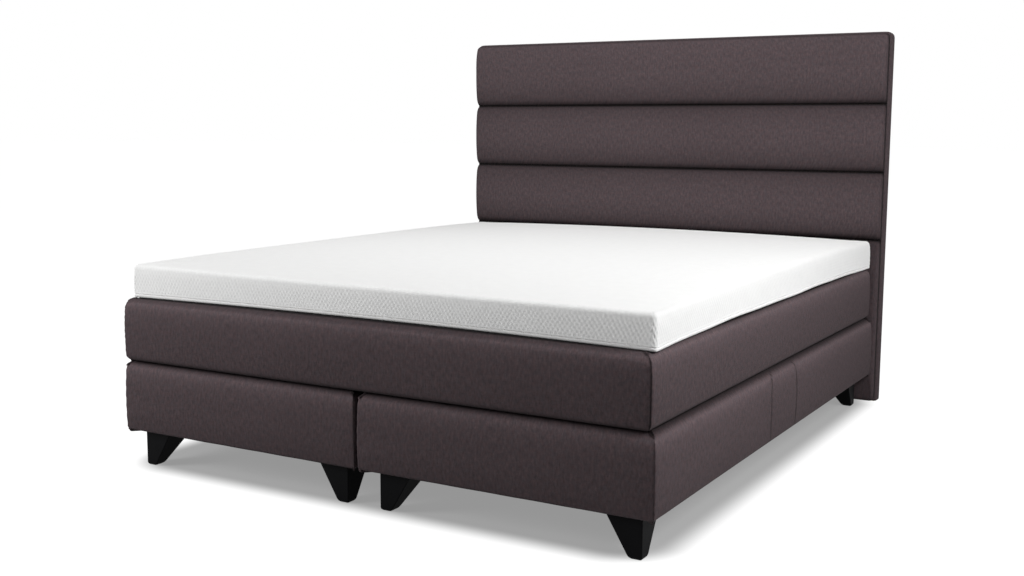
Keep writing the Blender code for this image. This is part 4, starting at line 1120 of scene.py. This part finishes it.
def knit_topper(knit):
    """Topper cover in white knit: rounded edge, crowned top, and a shallow base below a seam."""
    centre, _, low_z, _ = node_block("topper_base_cover")
    _, half, _, _ = node_block("topper_cover")
    half = (half[0] + TOPPER_PROUD, half[1])
    edge_z = low_z + TOPPER_EDGE_HEIGHT
    seam_z = low_z + TOPPER_SEAM_RISE
    band, caps, _ = swell_tier(
        "topper_knit_cover", centre, half, TOPPER_CORNER_ROUND,
        lambda fine: side_profile(
            TOPPER_SIDE_SWELL, edge_z, seam_z, (TOPPER_TOP_ROUND, TOPPER_ROLL), (fine, fine), 3 * fine),
        TOPPER_SPACING, TOPPER_FINENESS, seam_z + TOPPER_ROLL, TOPPER_SWELL, [0, -1], 0.0)
    dimple = emboss(band, seam_z, edge_z)
    shape_topper(low_z, centre, half, band, *caps)
    seam = band[TOPPER_SEAM_ROW] + THREAD_RISE * THREAD_RADIUS * outward(band)[TOPPER_SEAM_ROW]
    piece = new_object("topper_knit_cover", tier_mesh("topper_knit_cover", band, caps), knit)
    # The dimples' depth shares, which the knit darkens as painted shade
    shares = np.zeros(len(piece.data.vertices), np.float32)
    shares[: dimple.size] = dimple.ravel()
    note(piece.data, "dimple", shares)
    finish_piece(piece, "topper", "knit", "topper_cover")

    profile = [(TOPPER_SIDE_SWELL + inset, seam_z - below) for inset, below in TOPPER_LIP]
    profile += round_edge(TOPPER_BASE_ROUND, TOPPER_SIDE_SWELL, low_z, -1, 2)[::-1]
    steps = [2 * round(side / TOPPER_BASE_STEP) for side in half]
    band, caps = plain_tier(centre, half, TOPPER_CORNER_ROUND, profile, steps, 2)
    shape_topper(low_z, centre, half, band, *caps)
    base = new_object("topper_knit_base", tier_mesh("topper_knit_base", band, caps), knit)
    finish_piece(base, "topper", "knit", "topper_base_cover")
    return np.vstack([seam, seam[:1]])


def end_run(reach, depth, crown_reach, crown_depth):
    """Steps in from a pad's seam or edge, and the cloth's depth at each: a tight roll, then a slow crown."""
    turn = np.linspace(0, math.pi / 2, PAD_ROLL_STEPS)
    steps = np.append(reach * (1 - np.cos(turn)), np.linspace(reach, crown_reach, PAD_CROWN_STEPS + 1)[1:])
    roll = np.append(depth * (1 - np.sin(turn)), np.zeros(PAD_CROWN_STEPS))
    return steps, roll + crown_depth * (1 - steps / crown_reach) ** PAD_CROWN_POWER


def curved_run(low, high, low_end, high_end):
    """Places from low to high, close together at both ends, and how deep the cloth lies at each."""
    low_steps, low_depths = end_run(*low_end)
    high_steps, high_depths = end_run(*high_end)
    first, last = low + low_steps[-1], high - high_steps[-1]
    between = np.linspace(first, last, max(1, round((last - first) / PAD_SPACING)) + 1)[1:-1]
    places = np.concatenate([low + low_steps, between, (high - high_steps)[::-1]])
    return places, np.concatenate([low_depths, np.zeros(len(between)), high_depths[::-1]])


def round_corners(xs, zs, half, corner_z, way):
    """Bring a grid's outer corners at one height in to a round."""
    radius = PAD_CORNER_ROUND
    u = np.clip((np.abs(xs) - (half - radius)) / radius, 0, 1)
    v = np.clip((way * (zs - corner_z) + radius) / radius, 0, 1)
    both = (u > 0) & (v > 0)
    new_x = np.sign(xs) * (half - radius + radius * u * np.sqrt(1 - v ** 2 / 2))
    new_z = corner_z + way * (radius * v * np.sqrt(1 - u ** 2 / 2) - radius)
    return np.where(both, new_x, xs), np.where(both, new_z, zs)


def pad_channel(node, name, cloth, low_seam, high_seam):
    """One padded stretch of the headboard: crowned, pulled back to its seams, turned round its free edges."""
    low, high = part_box(node)
    half = (high[0] - low[0]) / 2 + PAD_PROUD
    top = high[2] + (0 if high_seam else PAD_PROUD)
    bottom = low[2] - (0 if low_seam else PAD_FOOT_DROP)
    front, back = low[1] + PAD_FRONT_ROOM, high[1] - PAD_BACK_ROOM
    ends = [PAD_SEAM if seam else PAD_EDGE for seam in (low_seam, high_seam)]
    heights, fall_z = curved_run(bottom, top, *ends)
    places, fall_x = curved_run(-half, half, PAD_SIDE, PAD_SIDE)
    depth = np.clip(fall_z[:, None] + fall_x[None, :], 0, back - front - PAD_LEAST_DEPTH)
    xs, zs = np.meshgrid(places, heights)
    if not high_seam:
        xs, zs = round_corners(xs, zs, half, top, 1)
    if not low_seam:
        xs, zs = round_corners(xs, zs, half, bottom, -1)
    face, rear = (np.stack([xs, y, zs], axis=2) for y in (front + depth, np.full_like(xs, back)))
    mesh = closed_pad(name, face, rear)
    rest = read_points(mesh)
    write_points(mesh, rest + swell(mesh, rest[:, 1] > front + PAD_EDGE_ROUND, PAD_SWELL))
    # Painted shade of the pad, noted for the cloth: darker towards its seams by the cloth's depth there, and
    # darker on its sides behind the front edge
    seams = [end if seam else (end[0], 0, end[2], 0) for end, seam in zip(ends, (low_seam, high_seam))]
    falls = curved_run(bottom, top, *seams)[1]
    in_seam = np.interp(rest[:, 2], heights, falls) / PAD_PAINTED_SHADE_DEPTH
    behind = (rest[:, 1] - front - PAD_SIDE_SHADE_RAMP) / PAD_SIDE_SHADE_RAMP
    mark_painted_light(mesh, np.maximum(np.clip(in_seam, 0, 1) ** PAD_PAINTED_SHADE_POWER, behind))
    piece = new_object(name, mesh, cloth)
    refine(piece)
    finish_piece(piece, "base", "upholstery", node)


def closed_pad(name, front, behind):
    """A closed form between two grids of points, with a few levels of faces round its rim."""
    rows, columns = front.shape[:2]
    number = np.arange(rows * columns).reshape(rows, columns)
    rim = np.concatenate([number[0, :-1], number[:-1, -1], number[-1, :0:-1], number[:0:-1, 0]])
    points = list(front.reshape(-1, 3)) + list(behind.reshape(-1, 3))
    faces = []
    for r in range(rows - 1):
        for c in range(columns - 1):
            face = (number[r, c], number[r, c + 1], number[r + 1, c + 1], number[r + 1, c])
            faces.append(face)
            faces.append(tuple(i + rows * columns for i in face[::-1]))
    previous = rim
    for level in range(1, PAD_RIM_LEVELS + 1):
        if level == PAD_RIM_LEVELS:
            current = rim + rows * columns
        else:
            current = len(points) + np.arange(len(rim))
            for i in rim:
                points.append(points[i] + (points[i + rows * columns] - points[i]) * level / PAD_RIM_LEVELS)
        for i in range(len(rim)):
            j = (i + 1) % len(rim)
            faces.append((previous[j], previous[i], current[i], current[j]))
        previous = current
    uvs = [(points[i][0] + points[i][1], points[i][2] + points[i][1]) for face in faces for i in face]
    return mesh_from(name, points, faces, uvs)


def arc(centre, radius, first, last, steps):
    """Points round an arc in degrees, each with its outward direction."""
    angles = np.radians(np.linspace(first, last, steps + 1))
    ways = np.column_stack([np.cos(angles), np.sin(angles)])
    return [(np.array(centre) + radius * way, way) for way in ways]


def grid_sheet(name, points, across, along, finish, smooth=True):
    """A sheet through a grid of points. It closes where it is given one more coordinate than points."""
    rows, columns = points.shape[:2]
    faces, uvs = [], []
    for row in range(len(along) - 1):
        for column in range(len(across) - 1):
            cell = [(row, column), (row + 1, column), (row + 1, column + 1), (row, column + 1)]
            faces.append([r % rows * columns + c % columns for r, c in cell])
            uvs += [(across[c], along[r]) for r, c in cell]
    return new_object(name, mesh_from(name, points.reshape(-1, 3), faces, uvs, smooth), finish)


def wrap_slab(cloth):
    """Cloth round the slab's sides and top: a front lip, rounded edges and a lip behind, in one band."""
    low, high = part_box("headboard_side_cover")
    half, top, bottom = high[0] + WRAP_PROUD, high[2] + WRAP_PROUD, low[2]
    path = [(np.array((-half, bottom)), np.array((-1.0, 0.0)))]
    path += arc((WRAP_CORNER_ROUND - half, top - WRAP_CORNER_ROUND), WRAP_CORNER_ROUND, 180, 90, 6)
    path += arc((half - WRAP_CORNER_ROUND, top - WRAP_CORNER_ROUND), WRAP_CORNER_ROUND, 90, 0, 6)
    path.append((np.array((half, bottom)), np.array((1.0, 0.0))))
    dense = [path[0]]
    for place, way in path[1:]:
        before = dense[-1][0]
        pieces = max(1, round(np.linalg.norm(place - before) / CLOTH_SPACING))
        dense += [(before + (place - before) * step / pieces, way) for step in range(1, pieces)]
        dense.append((place, way))
    front, back, edge = low[1] - WRAP_FRONT_PROUD, high[1], WRAP_EDGE_ROUND
    section = [(-WRAP_FRONT_LIP, front), (-(WRAP_FRONT_LIP + edge) / 2, front)]
    turn = np.linspace(0, math.pi / 2, 5)
    section += [(-edge + edge * math.sin(t), front + edge - edge * math.cos(t)) for t in turn]
    section += [(WRAP_BULGE, front + (back - front) * share) for share in WRAP_LEVELS]
    section += [(-edge + edge * math.cos(t), back - edge + edge * math.sin(t)) for t in turn]
    section += [(-(WRAP_CORNER_ROUND + edge) / 2, back), (-WRAP_CORNER_ROUND + WRAP_LIP_ROOM, back)]
    points = np.array([
        [(place[0] + way[0] * out, y, place[1] + way[1] * out) for out, y in section]
        for place, way in dense])
    long, wide = points.shape[:2]
    across, along = run_length(points[long // 2]), run_length(points[:, wide // 2])
    piece = grid_sheet("headboard_side_wrap", points, across, along, cloth)
    thicken(piece, WRAP_WALL)
    refine(piece)
    finish_piece(piece, "base", "upholstery", "headboard_side_cover")


class GrownPiece(NodeTree):
    """A piece that Geometry Nodes grow from a plain mesh, with named inputs for its sizes."""

    def __init__(self, label, **sizes):
        super().__init__(bpy.data.node_groups.new(label, "GeometryNodeTree"))
        face = self.tree.interface
        face.new_socket("Geometry", in_out="OUTPUT", socket_type="NodeSocketGeometry")
        face.new_socket("Base", in_out="INPUT", socket_type="NodeSocketGeometry")
        self.sizes, self.keys = sizes, {}
        for name, kind in {**dict.fromkeys(sizes, "Float"), "Finish": "Material"}.items():
            socket = face.new_socket(name, in_out="INPUT", socket_type="NodeSocket" + kind)
            self.keys[name] = socket.identifier
        self.start = self.tree.nodes.new("NodeGroupInput").outputs
        self.end = self.tree.nodes.new("NodeGroupOutput").inputs

    def close(self, instances):
        """End the tree: real mesh, in the finish that is given."""
        real = self.out("GeometryNodeRealizeInstances", {0: instances})
        links = {"Geometry": real, "Material": self.start["Finish"]}
        self.link(self.out("GeometryNodeSetMaterial", links), self.end[0])

    def in_rows(self, shape):
        """Put a shape at even steps along the base's lines, each lying along its line, and end the tree."""
        line = self.out("GeometryNodeMeshToCurve", {0: self.start["Base"]})
        links = {"Curve": line, "Length": self.start["Pitch"]}
        spaced = self.out("GeometryNodeResampleCurve", links, mode="LENGTH")
        tangent = self.out("GeometryNodeInputTangent")
        turn = self.out("FunctionNodeAlignRotationToVector", {"Vector": tangent}, axis="Z")
        links = {"Points": spaced, "Instance": shape, "Rotation": turn}
        self.close(self.out("GeometryNodeInstanceOnPoints", links))
        return self

    def grow(self, name, mesh, finish, body, slot, *nodes, smooth=True):
        """Run the tree on a mesh and keep the result as a plain piece."""
        piece = new_object(name, mesh)
        growth = piece.modifiers.new("growth", "NODES")
        growth.node_group = self.tree
        for label, value in {**self.sizes, "Finish": finish}.items():
            growth[self.keys[label]] = value
        evaluated = piece.evaluated_get(bpy.context.evaluated_depsgraph_get())
        grown = bpy.data.meshes.new_from_object(evaluated)
        grown.name = name
        piece.modifiers.remove(growth)
        piece.data = grown
        if smooth:
            grown.shade_smooth()
        finish_piece(piece, body, slot, *nodes)
        return piece

    def grow_along(self, name, paths, finish, body, slot, smooth=True):
        """Run the tree along several paths."""
        points, edges = [], []
        for path in paths:
            edges += [(len(points) + i, len(points) + i + 1) for i in range(len(path) - 1)]
            points += np.asarray(path).tolist()
        mesh = bpy.data.meshes.new(name)
        mesh.from_pydata(points, edges, [])
        self.grow(name, mesh, finish, body, slot, smooth=smooth)


def running_stitch():
    """Short threads in a row along a seam."""
    tree = GrownPiece("running_stitch", Pitch=STITCH_PITCH, Length=STITCH_LENGTH, Thread=THREAD_RADIUS)
    thick, half = tree.start["Thread"], tree.product(tree.start["Length"], 0.5)
    size = tree.out("ShaderNodeCombineXYZ", {0: thick, 1: thick, 2: half})
    bead = tree.out("GeometryNodeMeshUVSphere", {"Segments": 6, "Rings": 4, "Radius": 1.0})
    return tree.in_rows(tree.out("GeometryNodeTransform", {"Geometry": bead, "Scale": size}))


def staple_row():
    """Flat staples in a row, each lying along its edge."""
    tree = GrownPiece("staple_row", Pitch=STAPLE_PITCH, Width=STAPLE_WIDTH, Wire=STAPLE_WIRE)
    wire, width = tree.start["Wire"], tree.start["Width"]
    size = tree.out("ShaderNodeCombineXYZ", {0: wire, 1: wire, 2: width})
    return tree.in_rows(tree.out("GeometryNodeMeshCube", {"Size": size}))


def pocket_springs(radius, height):
    """Barrel-shaped fleece pockets, one on each point of a grid."""
    tree = GrownPiece("pocket_springs", Radius=radius, Height=height, Bulge=POCKET_BULGE)
    tall = tree.start["Height"]
    links = {"Vertices": 8, "Side Segments": 4, "Radius": tree.start["Radius"], "Depth": tall}
    barrel = tree.out("GeometryNodeMeshCylinder", links)
    split = tree.node("ShaderNodeSeparateXYZ", {0: tree.out("GeometryNodeInputPosition")}).outputs
    level = tree.math("DIVIDE", split[2], tree.product(tall, 0.5))
    shrink = tree.product(level, level, tree.start["Bulge"], -1.0)
    flat = tree.out("ShaderNodeCombineXYZ", {0: split[0], 1: split[1], 2: 0.0})
    move = tree.out("ShaderNodeVectorMath", {0: flat, "Scale": shrink}, operation="SCALE")
    shaped = tree.out("GeometryNodeSetPosition", {"Geometry": barrel, "Offset": move})
    links = {"Points": tree.start["Base"], "Instance": shaped}
    tree.close(tree.out("GeometryNodeInstanceOnPoints", links))
    return tree


def fill_springs(node, name, pitch, body, finish):
    """A core of pocket springs in the space of its CAD solid."""
    centre, half, low_z, high_z = node_block(node)
    counts = [max(1, int(2 * side / pitch + POCKET_SLACK)) for side in half]
    xs, ys = (
        centre[axis] + (np.arange(count) - (count - 1) / 2) * 2 * half[axis] / count
        for axis, count in enumerate(counts))
    mesh = bpy.data.meshes.new(name)
    mesh.from_pydata([(x, y, (low_z + high_z) / 2) for y in ys for x in xs], [], [])
    radius = min(half[0] / counts[0], half[1] / counts[1]) - POCKET_GAP
    springs = pocket_springs(radius, high_z - low_z - POCKET_ROOM)
    springs.grow(name, mesh, finish, body, "pocket_fleece", node)


def foam_slab(node, name, body, foam, eases):
    """A cut foam slab with eased edges, inside its cover."""
    centre, half, low_z, high_z = node_block(node)
    half = (half[0] - FOAM_INSET, half[1] - FOAM_INSET)
    if body == "topper":
        high_z = low_z + TOPPER_EDGE_HEIGHT - TOPPER_FOAM_ROOM
    profile = round_edge(eases[0], 0, high_z, 1, FOAM_STEPS[0])
    profile += round_edge(eases[1], 0, low_z, -1, FOAM_STEPS[1])[::-1]
    steps = [round(2 * side / FOAM_SPACING) for side in half]
    band, caps = plain_tier(centre, half, FOAM_CORNER_ROUND, profile, steps)
    if body == "mattress":
        sink_mattress(band, *caps)
    if body == "topper":
        shape_topper(low_z, centre, half, band, *caps)
    piece = new_object(name, tier_mesh(name, band, caps), foam)
    finish_piece(piece, body, "foam", node)


def ring_piece(name, centre, half, corner, loop, finish, lower):
    """A closed band round a rounded rectangle, whose section is a loop of insets and heights."""
    steps = [round(2 * side / RING_SPACING) for side in half]
    rings = tier_rings(centre, half, corner, loop, steps, 1)
    heights = [height for _, height in (*loop, loop[0])]
    piece = grid_sheet(name, rings, run_length(rings[0], closed=True), heights, finish, smooth=False)
    points = read_points(piece.data)
    lower(points)
    write_points(piece.data, points)
    return piece


def frame_foam(foam):
    """Firm foam round the mattress's springs."""
    centre, half, low_z, high_z = node_block("mattress_edge_foam")
    _, inner, _, _ = node_block("mattress_spring_core")
    near, ease = EDGE_FOAM_EASE
    width = half[0] - inner[0] - near
    loop = [(ease, high_z), (near, high_z - ease), (near, low_z + ease), (ease, low_z)]
    loop += [(width, low_z), (width, high_z)]
    piece = ring_piece("mattress_edge_border", centre, half, EDGE_FOAM_CORNER, loop, foam, sink_mattress)
    finish_piece(piece, "mattress", "foam", "mattress_edge_foam")


def zip_tape(knit):
    """The zip's tape behind the topper's seam."""
    centre, half, low_z, high_z = node_block("topper_zip_tape")
    loop = [(0.0, high_z), (-ZIP_BULGE, (low_z + high_z) / 2), (0.0, low_z)]
    loop += [(ZIP_THICKNESS, low_z), (ZIP_THICKNESS, high_z)]
    piece = ring_piece(
        "topper_zip_band", centre, half, TOPPER_CORNER_ROUND, loop, knit, lambda points: sink(points, 1.0))
    finish_piece(piece, "topper", "knit", "topper_zip_tape")


def stretched_cloth(node, name, body, finish, turned=0.0):
    """A sheet drawn tight over a frame, upright if it is turned round its edges. Gives its staples' line."""
    low, high = (np.array(corner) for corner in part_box(node))
    first, second, flat = (0, 2, 1) if turned else (0, 1, 2)
    low[first] -= turned
    high[[first, second]] += turned
    across, along = (
        np.linspace(low[axis], high[axis], round((high[axis] - low[axis]) / CLOTH_SPACING) + 1)
        for axis in (first, second))
    u, v = np.meshgrid(across, along)
    sway = RIPPLE_SWAY * np.sin(v * RIPPLE_SWAY_TURNS)
    ripple = CLOTH_RIPPLE * (1 + np.sin(u * RIPPLE_ACROSS + sway) * np.sin(v * RIPPLE_ALONG))
    outer, inwards = (high[1], -1) if turned else (low[2], 1)
    points = np.zeros((*u.shape, 3))
    points[..., first], points[..., second], points[..., flat] = u, v, outer + inwards * ripple
    piece = grid_sheet(name, points, across, along, finish)
    thicken(piece, CLOTH_THICKNESS)
    finish_piece(piece, body, "black_cloth", node)
    xs, ys = ((low[axis] + STAPLE_INSET, high[axis] - STAPLE_INSET) for axis in (first, second))
    line = np.zeros((5, 3))
    line[:, [first, second]] = [(xs[i], ys[j]) for i, j in ((0, 0), (1, 0), (1, 1), (0, 1), (0, 0))]
    line[:, flat] = outer - inwards * CLOTH_RIPPLE
    return line


def dress_nodes(cloth, knit, fleece, springs, foam, steel):
    """Give each CAD node that stays in view its real finish."""
    pine_across = sawn_pine("pine_across", 0, PINE_LIGHT, PINE_DARK)
    pine_upright = sawn_pine("pine_upright", 2, PINE_LIGHT, PINE_DARK)
    finishes = {
        "black_plastic": moulded_plastic(), "steel": steel, "foam": foam, "pocket_fleece": springs,
        "plywood": sawn_pine("plywood_face", 2, PLY_LIGHT, PLY_DARK), "black_cloth": fleece,
        "knit": knit, "upholstery": cloth,
    }
    for row in frame["record"]["subparts"]:
        node, slot = row["node"], row["material_slot"]
        finish = finishes.get(slot, pine_upright if "stile" in node else pine_across)
        for place in frame["nodes"][node].material_slots:
            place.material = finish


def main():
    """Dress the whole bed."""
    scene.view_settings.view_transform = "Standard"
    place_camera()
    lay_floor()
    light_world()
    for lamp in LAMPS:
        softbox(*lamp)
    cloth = upholstery_cloth()
    knit = knit_cloth()
    fleece = fleece_cloth("black_fleece", BLACK_FLEECE, BLACK_FLEECE_DOTS)
    springs = fleece_cloth("pocket_fleece", WHITE_FLEECE, WHITE_FLEECE_DOTS)
    foam = foam_cells()
    steel = zinc_steel()
    dress_nodes(cloth, knit, fleece, springs, foam, steel)

    box_seams = upholster_box("left", cloth) + upholster_box("right", cloth)
    mattress_seams = upholster_mattress(cloth)
    topper_seam = knit_topper(knit)
    for level, low_seam, high_seam in (("top", True, False), ("middle", True, True), ("lower", True, True)):
        pad_channel(f"headboard_{level}_channel", f"headboard_{level}_pad", cloth, low_seam, high_seam)
    pad_channel("headboard_plain_panel", "headboard_plain_pad", cloth, False, True)
    wrap_slab(cloth)

    dark_thread = thread_finish("dark_thread", THREAD_DARK)
    white_thread = thread_finish("white_thread", THREAD_WHITE)
    stitch = running_stitch()
    stitch.grow_along("box_corner_stitches", box_seams, dark_thread, "base", "upholstery")
    stitch.grow_along("mattress_corner_stitches", mattress_seams, dark_thread, "mattress", "upholstery")
    stitch.grow_along("topper_seam_stitches", [topper_seam], white_thread, "topper", "knit")

    staple_lines = []
    for side in ("left", "right"):
        staple_lines.append(stretched_cloth(
            f"{side}_box_dust_cloth", f"{side}_box_underside_cloth", "base", fleece))
        fill_springs(f"{side}_box_spring_core", f"{side}_box_pocket_springs", BOX_POCKET, "base", springs)
        foam_slab(f"{side}_box_foam_pad", f"{side}_box_foam_layer", "base", foam, BOX_FOAM)
    staple_lines.append(stretched_cloth(
        "headboard_back_cloth", "headboard_back_fleece", "base", fleece,
        BACK_CLOTH_TURN))
    stretched_cloth(
        "mattress_base_panel", "mattress_base_cloth", "mattress", fleece)
    staple_row().grow_along("cloth_staples", staple_lines, steel, "base", "steel", smooth=False)
    fill_springs("mattress_spring_core", "mattress_pocket_springs", MATTRESS_POCKET, "mattress", springs)
    frame_foam(foam)
    foam_slab("mattress_top_foam", "mattress_top_foam_layer", "mattress", foam, MATTRESS_TOP_FOAM)
    foam_slab("mattress_base_foam", "mattress_base_foam_layer", "mattress", foam, MATTRESS_BASE_FOAM)
    foam_slab("topper_core", "topper_foam_core", "topper", foam, TOPPER_FOAM)
    zip_tape(knit)


main()
